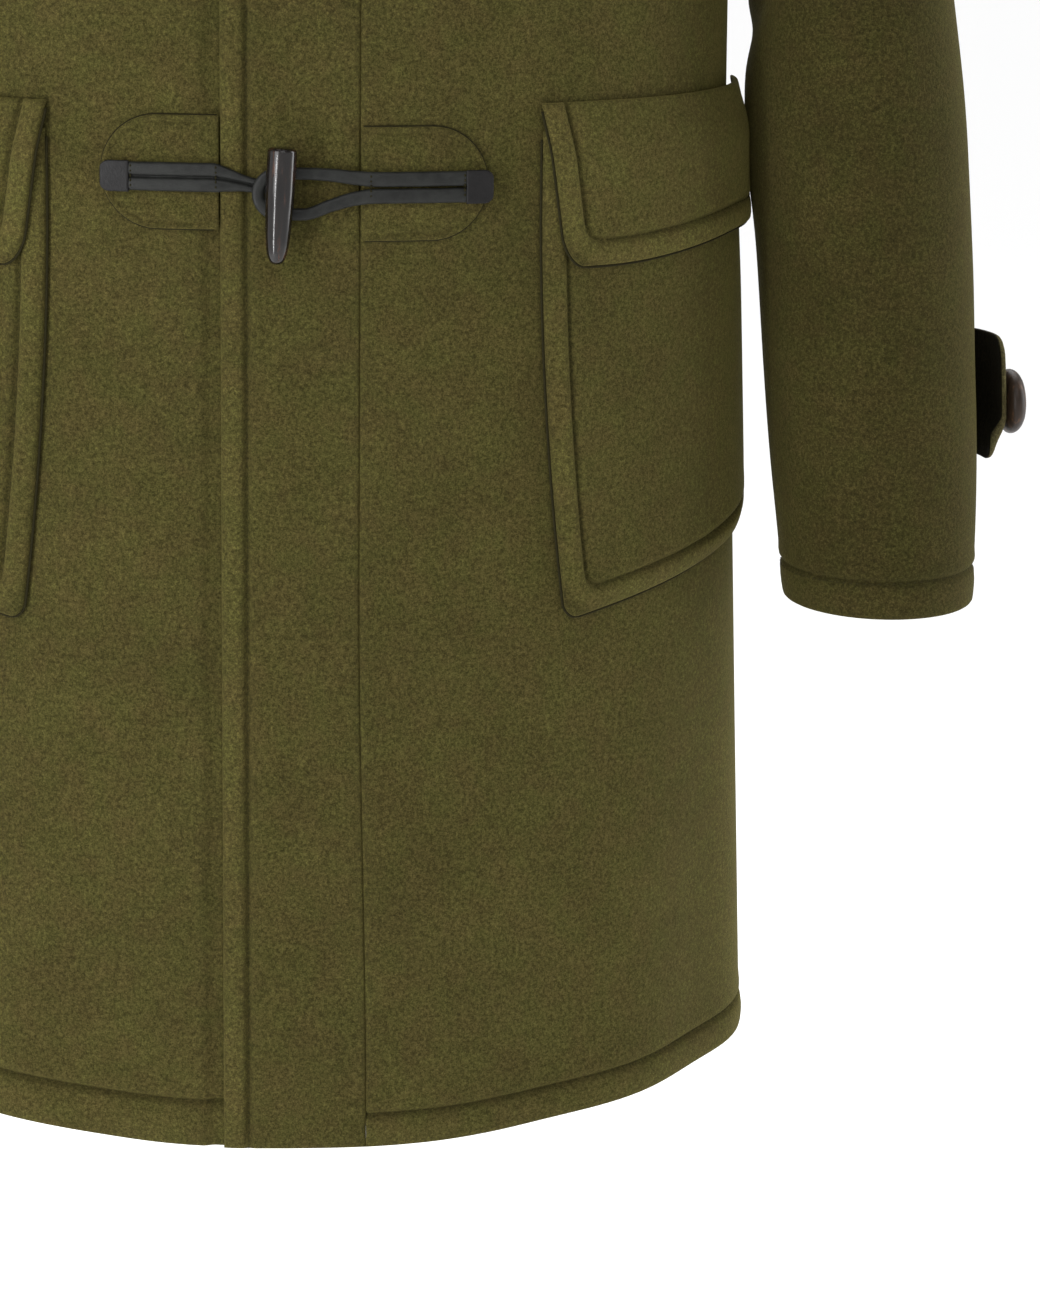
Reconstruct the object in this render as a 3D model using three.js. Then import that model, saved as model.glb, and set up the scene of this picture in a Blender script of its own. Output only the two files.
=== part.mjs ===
// A duffle coat of heavy woollen cloth, filled out as if worn, in millimetres.
// The origin lies between the shoulders at the level of the neck points, +Z is up, the front faces -Y
// and the wearer's left side is +X. Every cloth piece is a closed wall of its own.
import * as THREE from "three";

// Driving sizes
const CLOTH = 3;
const SEAM_GAP = 0.3;
const HOOD_GAP = 0.5;
const HEM_FRONT = -956;
const HEM_SIDE = -935;
const HEM_BACK = -946;
const HEM_SQUARE = 3.4;
const PLACKET_HALF = 37;
const PLACKET_TAPER = 4.6;
const PLACKET_TAPER_LOW = -950;
const PLACKET_TAPER_HIGH = -650;
const PLACKET_LIFT = 1.6;
const LIFT_FADE = 55;
const LAP_EDGE = 33;
const LAP_DIP = -2.3;
const LAP_FOLD = -48;
const LAP_FOLD_WIDTH = 6;
const NECK_HALF = 82;
const NECK_MIDDLE_Y = -10;
const NECK_HALF_DEPTH = 81;
const FACE_SPREAD_DEGREES = 130;
const NECK_DROP_FRONT = 85;
const NECK_DROP_BACK = 20;
const ARMHOLE_TOP = -52;
const ARMHOLE_BOTTOM = -246;
const ARMHOLE_MIDDLE = (ARMHOLE_TOP + ARMHOLE_BOTTOM) / 2;
const ARMHOLE_HALF = (ARMHOLE_TOP - ARMHOLE_BOTTOM) / 2;
const ARMHOLE_FRONT_DEGREES = 20;
const ARMHOLE_BACK_DEGREES = 18;
const SEAM_SWING_DEGREES = 6;
const SHOULDER_BREAK = -34;
const TOGGLE_LEVELS = [-454, -314, -174];
const TOGGLE_ACROSS = -7;
const TOGGLE_OUT = 16;
const TOGGLE_TOP_RISE = 20.6;
const TOGGLE_LEAN = 0.054;
const PATCH_END = 96;
const PATCH_HALF = 28;
const PATCH_CLOTH = 2;
const PATCH_FLOAT = 0.5;
const PATCH_GAP = 0.4;
const LEFT_PATCH_RISE = 1.5;
const RIGHT_PATCH_RISE = 6.5;
const TOGGLE_STRAP_RISE = 4.4;
const STRAP_THICK = 2.6;
const POCKET_MOUTH = -428;
const POCKET_FRONT = 124.5;
const POCKET_FRONT_SLANT = 15;
const POCKET_BOTTOM = -677;
const POCKET_BOTTOM_SLOPE = 0.19;
const POCKET_BOTTOM_START = 141;
const POCKET_WIDTH = 188;
const POCKET_CORNER = 7;
const POCKET_FLOAT = 1;
const POCKET_SWELL = 2.6;
const FLAP_TOP = -414;
const FLAP_FRONT = 123.5;
const FLAP_FRONT_SLANT = 10;
const FLAP_BOTTOM = -495.7;
const FLAP_BOTTOM_RISE = 8;
const FLAP_WIDTH = 182;
const FLAP_CORNER = 14;
const FLAP_SWELL = 6.9;
const TAB_FIRST_DEGREES = -100;
const TAB_LAST_DEGREES = 4;
const TAB_LENGTH = 110;
const TAB_LEVEL = -583;
const TAB_HALF = 33;
const TAB_CORNER = 14;
const TAB_FLOAT = 0.6;
const TAB_STAND = 12.8;
const TAB_DROOP = 6;
const BUTTON_DEGREES = -8;
const BUTTON_DROP = 2.7;
const BUTTON_GAP = 0.4;

const rows = (names, table) =>
  table.map((row) => Object.fromEntries(names.map((name, k) => [name, row[k]])));

// Rings of the coat's body: half width, depth in front and behind, and how square each ring is
const BODY = rows(
  ["z", "half", "front", "back", "square"],
  [
    [-965, 248.6, 158, 154, 2.1],
    [-780, 241, 155, 149, 2.15],
    [-600, 234.5, 151, 143, 2.2],
    [-530, 231.5, 149, 140, 2.2],
    [-450, 227.5, 147, 137, 2.25],
    [-330, 226.5, 140, 130, 2.3],
    [-245, 227, 134, 126, 2.3],
    [-180, 227, 124, 118, 2.25],
    [-130, 227, 110, 106, 2.2],
    [-90, 225, 93, 92, 2.1],
    [-52, 221, 74, 76, 2],
    [-30, 162, 74, 73, 2],
    [-12, 114, 73, 71, 2],
    [0, 82, 70, 68, 2],
    [6, 70, 62, 62, 2],
  ],
);

// Rings of the left sleeve: its outer and inner lines, the middle in depth and the half depth
const SLEEVE = rows(
  ["s", "outerX", "outerZ", "innerX", "innerZ", "middleY", "depth"],
  [
    [0, 224, -52, 231, -246, 0, 60],
    [1, 240, -56, 234.5, -255, 0, 64],
    [2, 258, -68, 236, -270, 0, 68],
    [3, 276, -93, 236.5, -292, 0, 72],
    [4, 291, -130, 237, -322, -1, 75],
    [5, 306, -178, 237.6, -355, -3, 76],
    [6, 320, -235, 239, -390, -6, 75],
    [7, 333, -300, 241, -428, -10, 73],
    [8, 344, -370, 243, -468, -15, 70],
    [9, 353, -445, 245.5, -510, -20, 66],
    [10, 359.5, -520, 249, -560, -25, 62],
    [11, 363.5, -590, 253.5, -610, -29, 59],
    [12, 364.5, -645, 258.5, -652, -32, 57],
    [13, 364, -689, 263, -689, -34, 56],
  ],
);

// Rows of the hood above its collar: front and back points, half width, rise of the sides and the angle
// where the face opening starts
const HOOD = rows(
  ["s", "frontY", "frontZ", "backY", "backZ", "half", "rise", "face"],
  [
    [1, -92, -26, 74, 36, 87, 32, 24],
    [2, -93, 55, 108, 95, 104, 12, 40],
    [3, -98, 138, 128, 158, 112, 0, 43],
    [4, -97, 208, 126, 218, 104, 0, 38],
    [5, -90, 252, 112, 262, 80, 0, 28],
    [6, -80, 276, 96, 284, 44, 0, 15],
    [7, -72, 284, 84, 292, 0, 0, 0],
  ],
);

// The strap that holds the toggle, from its outer end: place across, width and distance out from the body
const TOGGLE_STRAP = rows(
  ["across", "wide", "out"],
  [
    [-95, 10, 3.2],
    [-92.5, 13.6, 3.2],
    [-66, 14.3, 3.2],
    [-40, 14.3, 3.2],
    [-32, 11.4, 2.7],
    [-24, 8, 2.5],
    [-12.5, 6.4, 2.6],
    [-8.5, 6.2, 5.6],
    [-4, 6, 5.7],
  ],
);

// The loop that catches the toggle: its upper and lower strands part towards the toggle
const LOOP_STRAP = rows(
  ["across", "upper", "lower", "wide", "out"],
  [
    [96, 4.1, -4.1, 7.4, 3.8],
    [68, 4.1, -4.1, 7.4, 4.2],
    [40, 4.1, -4.1, 7.4, 4.9],
    [30, 4.8, -5.2, 7, 4.6],
    [18, 6.2, -8.6, 6.4, 4.6],
    [4, 7, -13, 6, 5.6],
    [-8, 7, -13, 6, 5.8],
  ],
);

// The horn toggle and the cuff button, as radii along their axes
const HORN = rows(
  ["along", "radius"],
  [
    [0, 6.4],
    [1.2, 7.2],
    [18, 7.3],
    [32, 6.8],
    [45, 6],
    [52.5, 4.9],
    [56, 3.4],
    [57.5, 1.4],
  ],
);
const BUTTON = rows(
  ["along", "radius"],
  [
    [0, 14],
    [2.2, 17.3],
    [6.5, 17.3],
    [9.4, 14.5],
    [10, 11.2],
  ],
);

const melton = new THREE.MeshStandardMaterial({ color: 0x4b4727, roughness: 0.95, metalness: 0 });
const shadedMelton = new THREE.MeshStandardMaterial({ color: 0x2b2917, roughness: 0.95, metalness: 0 });
const leather = new THREE.MeshStandardMaterial({ color: 0x3c3b36, roughness: 0.5, metalness: 0 });
const horn = new THREE.MeshStandardMaterial({ color: 0x2c2019, roughness: 0.2, metalness: 0 });

const coat = new THREE.Group();
const radians = THREE.MathUtils.degToRad;
const vector = (x, y, z) => new THREE.Vector3(x, y, z);

function ease(x) {
  const t = THREE.MathUtils.clamp(x, 0, 1);
  return t * t * (3 - 2 * t);
}

// One column of a table at any place along its key, on a curve that never swings past the rows
function column(table, key, field, at) {
  const last = table.length - 1;
  const slope = (k) => (table[k + 1][field] - table[k][field]) / (table[k + 1][key] - table[k][key]);
  const tangent = (k) => {
    if (k === 0) return slope(0);
    if (k === last) return slope(last - 1);
    const before = slope(k - 1);
    const after = slope(k);
    return before * after <= 0 ? 0 : (2 * before * after) / (before + after);
  };
  let k = 0;
  while (k < last - 1 && at > table[k + 1][key]) k++;
  const width = table[k + 1][key] - table[k][key];
  const t = THREE.MathUtils.clamp((at - table[k][key]) / width, 0, 1);
  const rest = 1 - t;
  return (
    (1 + 2 * t) * rest * rest * table[k][field] +
    t * rest * rest * width * tangent(k) +
    t * t * (3 - 2 * t) * table[k + 1][field] -
    t * t * rest * width * tangent(k + 1)
  );
}

// Joins a row of closed sections into one closed mesh, with its ends capped unless they meet
function sweep(name, material, sections, meets) {
  const size = sections[0].length;
  const faces = [];
  const steps = meets ? sections.length : sections.length - 1;
  for (let s = 0; s < steps; s++) {
    const a = s * size;
    const b = ((s + 1) % sections.length) * size;
    for (let k = 0; k < size; k++) {
      const next = (k + 1) % size;
      faces.push([a + k, b + k, b + next], [a + k, b + next, a + next]);
    }
  }
  const end = (sections.length - 1) * size;
  for (let k = 0; !meets && k < size / 2 - 1; k++) {
    faces.push([k, k + 1, size - 2 - k], [k, size - 2 - k, size - 1 - k]);
    faces.push([end + k, end + size - 2 - k, end + k + 1]);
    faces.push([end + k, end + size - 1 - k, end + size - 2 - k]);
  }
  const corners = sections.flat();
  const cross = vector();
  const volume = faces.reduce(
    (sum, [a, b, c]) => sum + corners[a].dot(cross.crossVectors(corners[b], corners[c])),
    0,
  );
  if (volume < 0) faces.forEach((face) => face.reverse());
  const geometry = new THREE.BufferGeometry().setFromPoints(corners);
  geometry.setIndex(faces.flat());
  geometry.computeVertexNormals();
  const mesh = new THREE.Mesh(geometry, material);
  mesh.name = name;
  coat.add(mesh);
}

const wallSection = (outer, inner) => [...outer, ...inner.slice().reverse()];
const mirrored = (sections, side) =>
  sections.map((section) => section.map((p) => vector(p.x * side, p.y, p.z)));
const spread = (count, make) => Array.from({ length: count + 1 }, (_, k) => make(k / count));

// The coat's outer surface: an angle from the centre front, a level, and a distance out from the cloth
function bodyRing(angle, z) {
  const across = Math.abs(Math.sin(angle)) / column(BODY, "z", "half", z);
  const depth = Math.abs(Math.cos(angle)) / column(BODY, "z", Math.cos(angle) > 0 ? "front" : "back", z);
  const square = column(BODY, "z", "square", z);
  const reach = (across ** square + depth ** square) ** (-1 / square);
  return vector(reach * Math.sin(angle), -reach * Math.cos(angle), z);
}

function bodyNormal(angle, z) {
  const step = 0.002;
  const around = bodyRing(angle + step, z).sub(bodyRing(angle - step, z));
  const upward = bodyRing(angle, z + 1).sub(bodyRing(angle, z - 1));
  return around.cross(upward).normalize();
}

function bodyPoint(angle, z, out) {
  return bodyRing(angle, z).addScaledVector(bodyNormal(angle, z), out);
}

// The angle at a distance along the cloth from the centre front
function angleAtArc(arc, z) {
  const step = radians(1);
  let angle = 0;
  let length = 0;
  let here = bodyRing(0, z);
  while (angle < radians(140)) {
    const next = bodyRing(angle + step, z);
    const chord = next.distanceTo(here);
    if (length + chord >= Math.abs(arc)) break;
    length += chord;
    angle += step;
    here = next;
  }
  const chord = bodyRing(angle + step, z).distanceTo(here);
  return Math.sign(arc) * (angle + (step * (Math.abs(arc) - length)) / chord);
}

const clothPoint = (arc, z, out) => bodyPoint(angleAtArc(arc, z), z, out);

// The angle of the side seam, and how far the armhole opens to each side of it
function seamAngle(z) {
  const down = (ARMHOLE_TOP - z) / (ARMHOLE_TOP - ARMHOLE_BOTTOM);
  return radians(90 + SEAM_SWING_DEGREES * ease(down));
}

function armholeReach(z) {
  return Math.sqrt(Math.max(0, 1 - ((z - ARMHOLE_MIDDLE) / ARMHOLE_HALF) ** 2));
}

const neckHalf = (z, drop) => NECK_HALF * Math.sqrt(Math.max(0, 1 - (z / drop) ** 2));
const gapAngle = (z) => SEAM_GAP / 2 / column(BODY, "z", "half", z);

function hemLevel(angle) {
  const middle = Math.cos(angle) > 0 ? HEM_FRONT : HEM_BACK;
  return HEM_SIDE + (middle - HEM_SIDE) * (1 - Math.abs(Math.sin(angle)) ** HEM_SQUARE);
}

// Steps down each half of an armhole, and the corners that the front neckline shares with the hood
const ROUND_STEPS = 10;
const NECK_TURNS = [0, 18, 36, 54, 72, 83, 87.5, 90];
const neckLevel = (turn) => -NECK_DROP_FRONT * Math.cos(radians(turn));

// Levels of the panels' rows from the hem up
const SKIRT_LEVELS = [-880, -780, -690, -600, -520, -450, -380, -310];
const ARMHOLE_LEVELS = spread(
  ROUND_STEPS,
  (t) => ARMHOLE_MIDDLE - ARMHOLE_HALF * Math.cos(Math.PI * t),
);
const SHOULDER_LEVELS = [SHOULDER_BREAK, -1.5];
const HEM = null;
const upwards = (levels) => [HEM, ...levels.sort((a, b) => a - b)];
const frontLevels = upwards([
  ...SKIRT_LEVELS,
  ...ARMHOLE_LEVELS,
  ...SHOULDER_LEVELS,
  ...NECK_TURNS.slice(0, -1).map(neckLevel),
]);

// A panel of the body: its angles at each level, and its distance out from the coat's surface
function panel(name, levels, angles, levelAt, liftAt) {
  const sections = levels.map((level) => {
    const along = angles(level === HEM ? HEM_SIDE : level);
    const at = (out) =>
      along.map((angle) => {
        const z = level === HEM ? hemLevel(angle) : levelAt(level, angle);
        return bodyPoint(angle, z, out + liftAt(bodyRing(angle, z).x));
      });
    return wallSection(at(0), at(-CLOTH));
  });
  sweep(name, melton, sections, false);
}

const sameLevel = (z) => z;
const armholeFront = (z) =>
  seamAngle(z) - radians(ARMHOLE_FRONT_DEGREES) * armholeReach(z) - gapAngle(z);
const armholeBack = (z) =>
  seamAngle(z) + radians(ARMHOLE_BACK_DEGREES) * armholeReach(z) + gapAngle(z);

function angleAtX(x, z) {
  let low = 0;
  let high = Math.PI / 2;
  for (let k = 0; k < 40; k++) {
    const middle = (low + high) / 2;
    if (bodyRing(middle, z).x < x) low = middle;
    else high = middle;
  }
  return (low + high) / 2;
}

// Angles of a front from its edge to the armhole: first at the given places, then evenly
function frontAngles(places, columns, side, z) {
  const last = side * armholeFront(z);
  if (z > -NECK_DROP_FRONT) {
    const edge = Math.max(neckHalf(z, NECK_DROP_FRONT), side * places[0]);
    const first = side * angleAtX(edge, z);
    return spread(places.length - 1 + columns, (t) => first + (last - first) * t);
  }
  const fixed = places.map((place) => angleAtArc(place, z));
  const from = fixed.pop();
  return [...fixed, ...spread(columns, (t) => from + (last - from) * t)];
}

// The left front and the placket are lifted over the right front, which dips under them
const leftLift = (x) => PLACKET_LIFT * (1 - ease((x - PLACKET_HALF) / LIFT_FADE));
const rightLift = (x) => LAP_DIP * ease((x - LAP_FOLD) / LAP_FOLD_WIDTH);

// The placket is a little narrower above on its sewn side
function placketEnd(z) {
  const up = (z - PLACKET_TAPER_LOW) / (PLACKET_TAPER_HIGH - PLACKET_TAPER_LOW);
  return PLACKET_HALF - PLACKET_TAPER * ease(up);
}

function addFronts() {
  const columns = 8;
  const leftPlaces = (z) => [placketEnd(z) + SEAM_GAP, 62, PLACKET_HALF + LIFT_FADE];
  const rightPlaces = [LAP_EDGE, 0, LAP_FOLD + LAP_FOLD_WIDTH, LAP_FOLD, -70];
  const leftAngles = (z) => frontAngles(leftPlaces(z), columns, 1, z);
  const rightAngles = (z) => frontAngles(rightPlaces, columns, -1, z);
  panel("left_front", frontLevels, leftAngles, sameLevel, leftLift);
  panel("right_front", frontLevels, rightAngles, sameLevel, rightLift);
}

function addPlacket() {
  const top = -NECK_DROP_FRONT;
  const levels = upwards([...frontLevels.filter((z) => z !== HEM && z < top - 2), top]);
  const angles = (z) => spread(4, (t) => angleAtArc((PLACKET_HALF + placketEnd(z)) * t - PLACKET_HALF, z));
  const levelAt = (z, angle) => {
    if (z < top) return z;
    const x = bodyRing(angle, z).x;
    return top * Math.sqrt(1 - (x / NECK_HALF) ** 2) - 1;
  };
  panel("placket", levels, angles, levelAt, () => PLACKET_LIFT);
}

// The level of the neckline behind, at an angle round the neck
function backNeckLevel(angle) {
  let low = -NECK_DROP_BACK;
  let high = 0;
  for (let k = 0; k < 40; k++) {
    const middle = (low + high) / 2;
    if (bodyRing(angle, middle).x > neckHalf(middle, NECK_DROP_BACK)) low = middle;
    else high = middle;
  }
  return (low + high) / 2;
}

function addBack() {
  const top = SHOULDER_BREAK;
  const levels = upwards([...SKIRT_LEVELS, ...ARMHOLE_LEVELS, top, top / 2, 0]);
  const angles = (z) => {
    const first = armholeBack(z);
    return spread(18, (t) => first + 2 * (Math.PI - first) * t);
  };
  const levelAt = (z, angle) => {
    if (z <= top) return z;
    const fromFront = angle > Math.PI ? 2 * Math.PI - angle : angle;
    return top + (backNeckLevel(fromFront) - top) * (1 - z / top);
  };
  panel("back", levels, angles, levelAt, () => 0);
}

// Where a piece sewn round a hole of the body starts, a gap inside the hole's edge and outside the cloth
function seamStart(edgeAt, turn, gap) {
  const pointAt = (t) => bodyRing(...edgeAt(THREE.MathUtils.clamp(t, 0, edgeAt.end)));
  const out = bodyNormal(...edgeAt(turn));
  const along = pointAt(turn + 0.01).sub(pointAt(turn - 0.01));
  const inward = out.clone().cross(along).normalize();
  return pointAt(turn).addScaledVector(out, gap).addScaledVector(inward, gap);
}

// The armhole's edge as an angle and a level, from its top round the front
function armholeEdge(turn) {
  const z = ARMHOLE_MIDDLE + ARMHOLE_HALF * Math.cos(turn);
  const degrees = Math.sin(turn) > 0 ? -ARMHOLE_FRONT_DEGREES : ARMHOLE_BACK_DEGREES;
  return [seamAngle(z) + radians(degrees) * Math.abs(Math.sin(turn)), z];
}
armholeEdge.end = 2 * Math.PI;

// The left sleeve's rings turn from the armhole to the cuff: a turn of 0 is the outer line, 90 the front
function sleeveRing(turn, s) {
  const at = (field) => column(SLEEVE, "s", field, s);
  const along = (1 + Math.cos(turn)) / 2;
  return vector(
    at("innerX") + (at("outerX") - at("innerX")) * along,
    at("middleY") - at("depth") * Math.sin(turn),
    at("innerZ") + (at("outerZ") - at("innerZ")) * along,
  );
}

function sleeveSurface(turn, s) {
  const point = sleeveRing(turn, s);
  const start = seamStart(armholeEdge, turn, SEAM_GAP).sub(sleeveRing(turn, 0));
  return point.addScaledVector(start, 1 - ease(s / 4));
}

function sleevePoint(turn, s, out) {
  const step = 0.02;
  const low = Math.max(s - step, 0);
  const around = sleeveSurface(turn + step, s).sub(sleeveSurface(turn - step, s));
  const along = sleeveSurface(turn, s + step).sub(sleeveSurface(turn, low));
  return sleeveSurface(turn, s).addScaledVector(around.cross(along).normalize(), out);
}

const CUFF = SLEEVE[SLEEVE.length - 1].s;

function addSleeve(name, side) {
  const steps = 2 * ROUND_STEPS;
  const middle = vector(0, 0, ARMHOLE_MIDDLE);
  const sections = Array.from({ length: steps }, (_, k) => {
    const turn = (2 * Math.PI * k) / steps;
    const outer = spread(CUFF, (t) => sleeveSurface(turn, CUFF * t));
    const inner = spread(CUFF, (t) => sleevePoint(turn, CUFF * t, -CLOTH));
    const start = outer[0];
    const inward = middle.clone().sub(start).setX(0).setLength(CLOTH);
    inner[0] = start.clone().add(inward);
    return wallSection(outer, inner);
  });
  sweep(name, melton, mirrored(sections, side), true);
}

// The hood's rows rise from the neckline; a turn of 0 is the centre front and 180 the centre back
const HOOD_TURNS = [...NECK_TURNS, ...spread(9, (t) => 90 + 90 * t).slice(1)].map(radians);
const CROWN = HOOD[HOOD.length - 1].s;

// The neckline as an angle and a level
function neckEdge(turn) {
  if (turn > Math.PI / 2) return [turn, backNeckLevel(turn)];
  const z = -NECK_DROP_FRONT * Math.cos(turn);
  return [angleAtX(NECK_HALF * Math.sin(turn), z), z];
}
neckEdge.end = Math.PI;

const neckPoint = (turn) => seamStart(neckEdge, turn, HOOD_GAP);

// Seen from above, the angle of a point of the neckline about the middle of the neck
const planAngle = (point) =>
  Math.atan2(Math.max(point.x, 0) / NECK_HALF, (NECK_MIDDLE_Y - point.y) / NECK_HALF_DEPTH);

function hoodRing(turn, s) {
  const at = (field) => column(HOOD, "s", field, s);
  const plan = planAngle(neckPoint(turn));
  const round = plan + radians(at("face")) * Math.max(0, 1 - plan / radians(FACE_SPREAD_DEGREES)) ** 2;
  const back = (1 - Math.cos(round)) / 2;
  return vector(
    at("half") * Math.sin(round),
    at("frontY") + (at("backY") - at("frontY")) * back,
    at("frontZ") + (at("backZ") - at("frontZ")) * back + at("rise") * Math.sin(round) ** 2,
  );
}

function hoodSurface(turn, s) {
  const first = HOOD[0].s;
  const ring = hoodRing(turn, Math.max(s, first));
  return s >= first ? ring : neckPoint(turn).lerp(ring, s / first);
}

function hoodPoint(turn, s, out) {
  const step = 0.03;
  const [low, high] = [Math.max(s - step, 0), Math.min(s + step, CROWN)];
  const [before, after] = [Math.max(turn - step, 0), Math.min(turn + step, Math.PI)];
  const middle = Math.min(s, CROWN - step);
  const around = hoodSurface(after, middle).sub(hoodSurface(before, middle));
  const upward = hoodSurface(turn, high).sub(hoodSurface(turn, low));
  return hoodSurface(turn, s).addScaledVector(around.cross(upward).normalize(), out);
}

// Each half of the hood stops just short of the seam down its middle
function addHood(name, side) {
  const toSeam = (p) => p.setX(Math.max(p.x, SEAM_GAP / 2));
  const sections = spread(CROWN * 2, (t) => {
    const s = CROWN * t;
    const outer = HOOD_TURNS.map((turn) => hoodSurface(turn, s));
    const inner = HOOD_TURNS.map((turn) => hoodPoint(turn, s, -CLOTH));
    if (s === 0) {
      outer.forEach((p, k) => {
        inner[k] = p.clone().add(vector(-p.x, -p.y, 0).setLength(CLOTH));
      });
    }
    return wallSection(outer.map(toSeam), inner.map(toSeam));
  });
  sweep(name, melton, mirrored(sections, side), false);
}

// The bottom corners of a pocket or flap are round: how far the side moves in near the bottom
const roundedIn = (radius, above) =>
  above >= radius ? 0 : radius - Math.sqrt(radius ** 2 - (radius - above) ** 2);

// A flat piece sewn on a front, from its top level to its bottom edge
function sewnOn(name, side, shape) {
  const { top, bottomAt, frontAt, width, corner, insideAt } = shape;
  const edgeSteps = [0, 4, 11];
  const across = [
    ...edgeSteps,
    ...spread(6, (t) => edgeSteps[2] + (width - 2 * edgeSteps[2]) * t).slice(1, -1),
    ...edgeSteps.map((d) => width - d).reverse(),
  ];
  const downs = [...spread(shape.rows, (t) => [t, corner]), [1, corner / 2], [1, corner / 5], [1, 0]];
  const sections = downs.map(([down, above]) => {
    const at = (out) =>
      across.map((place) => {
        const nominal = frontAt(bottomAt(0)) + place;
        const z = top + (bottomAt(nominal) + above - top) * down;
        const inset = roundedIn(corner, z - bottomAt(nominal));
        const arc = frontAt(z) + inset + (place / width) * (width - 2 * inset);
        const rim = Math.min(place, width - place, z - bottomAt(nominal));
        return clothPoint(arc, z, out + insideAt(rim, z) + leftLift(arc));
      });
    return wallSection(at(CLOTH), at(0));
  });
  sweep(name, melton, mirrored(sections, side), false);
}

const POCKET = {
  top: POCKET_MOUTH,
  rows: 7,
  corner: POCKET_CORNER,
  width: POCKET_WIDTH,
  frontAt: (z) => POCKET_FRONT + POCKET_FRONT_SLANT * Math.max(0, (-z - 450) / 220) ** 2,
  bottomAt: (arc) => POCKET_BOTTOM + POCKET_BOTTOM_SLOPE * Math.max(0, arc - POCKET_BOTTOM_START),
  insideAt: (rim, z) => POCKET_FLOAT + POCKET_SWELL * ease(rim / 13) * ease((POCKET_MOUTH - z) / 30),
};

const FLAP = {
  top: FLAP_TOP,
  rows: 4,
  corner: FLAP_CORNER,
  width: FLAP_WIDTH,
  frontAt: (z) => FLAP_FRONT + (FLAP_FRONT_SLANT * (FLAP_TOP - z)) / 68,
  bottomAt: (arc) => FLAP_BOTTOM + FLAP_BOTTOM_RISE * ease((arc - 150) / 120),
  insideAt: (rim, z) => POCKET_FLOAT + FLAP_SWELL * ease((FLAP_TOP + 3 - z) / 32),
};

// A patch of cloth behind the leather, with a half round outer end
function addPatch(name, side, middle) {
  const inner = side > 0 ? placketEnd(middle) + PATCH_GAP : PLACKET_HALF + PATCH_GAP;
  const roundStart = PATCH_END - PATCH_HALF;
  const lastTurn = radians(87);
  const straight = [0, 0.5].map((t) => [inner + (roundStart - inner) * t, PATCH_HALF]);
  const round = spread(7, (t) => {
    const turn = lastTurn * t;
    return [roundStart + PATCH_HALF * Math.sin(turn), PATCH_HALF * Math.cos(turn)];
  });
  const sections = [...straight, ...round].map(([arc, half]) => {
    const at = (out) =>
      spread(4, (t) => {
        const lift = side > 0 ? leftLift(arc) : 0;
        return clothPoint(side * arc, middle + half * (1 - 2 * t), PATCH_FLOAT + lift + out);
      });
    return wallSection(at(PATCH_CLOTH), at(0));
  });
  sweep(name, melton, sections, false);
}

// A flat strap along points given by place, level, width, turning and distance out
function strap(name, path) {
  const sections = path.map((p) => {
    const [sine, cosine] = [Math.sin(p.heading), Math.cos(p.heading)];
    const corner = (w, out) => clothPoint(p.across - w * sine, p.z + w * cosine, out);
    const half = p.wide / 2;
    return [
      corner(half, p.out + STRAP_THICK),
      corner(-half, p.out + STRAP_THICK),
      corner(-half, p.out),
      corner(half, p.out),
    ];
  });
  sweep(name, leather, sections, false);
}

function addToggleStrap(name, middle) {
  const rise = (row) => TOGGLE_STRAP_RISE * (1 - ease((row.across + 42) / 30));
  const path = TOGGLE_STRAP.map((row) => ({ ...row, z: middle + rise(row), heading: 0 }));
  strap(name, path);
}

// The loop runs in along its upper strand, round a half circle and out along its lower strand
function addLoopStrap(name, middle) {
  const end = LOOP_STRAP.length - 1;
  const last = LOOP_STRAP[end];
  const radius = (last.upper - last.lower) / 2;
  const centre = middle + (last.upper + last.lower) / 2;
  const strand = (name, outwards) =>
    LOOP_STRAP.map((row, k) => {
      const before = LOOP_STRAP[Math.max(k - 1, 0)];
      const after = LOOP_STRAP[Math.min(k + 1, end)];
      const [inward, rise] = [before.across - after.across, after[name] - before[name]];
      const heading = outwards ? Math.atan2(-rise, inward) : Math.atan2(rise, -inward);
      return { ...row, z: middle + row[name], heading };
    });
  const upper = strand("upper", false);
  const lower = strand("lower", true);
  const bend = [30, 60, 90, 120, 150].map((degrees) => ({
    ...last,
    across: last.across - radius * Math.sin(radians(degrees)),
    z: centre + radius * Math.cos(radians(degrees)),
    heading: Math.PI + radians(degrees),
  }));
  upper[end].heading = Math.PI;
  lower[end].heading = 2 * Math.PI;
  strap(name, [...upper, ...bend, ...lower.reverse()]);
}

// Rings round an axis, from a table of places along it and radii
function turned(name, material, profile, sides, origin, axis, first) {
  const second = axis.clone().cross(first);
  const sections = profile.map(({ along, radius }) =>
    Array.from({ length: sides }, (_, k) => {
      const turn = (2 * Math.PI * k) / sides;
      return origin
        .clone()
        .addScaledVector(axis, along)
        .addScaledVector(first, radius * Math.cos(turn))
        .addScaledVector(second, radius * Math.sin(turn));
    }),
  );
  sweep(name, material, sections, false);
}

function addToggle(name, middle) {
  const span = 20;
  const out = bodyNormal(angleAtArc(TOGGLE_ACROSS, middle), middle);
  const below = clothPoint(TOGGLE_ACROSS, middle - span, 0);
  const downward = below.sub(clothPoint(TOGGLE_ACROSS, middle + span, 0));
  downward.addScaledVector(out, -downward.dot(out)).setX(-TOGGLE_LEAN * downward.length()).normalize();
  const top = clothPoint(TOGGLE_ACROSS, middle, TOGGLE_OUT).addScaledVector(downward, -TOGGLE_TOP_RISE);
  const first = out.addScaledVector(downward, -out.dot(downward)).normalize();
  turned(name, horn, HORN, 12, top, downward, first);
}

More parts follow.
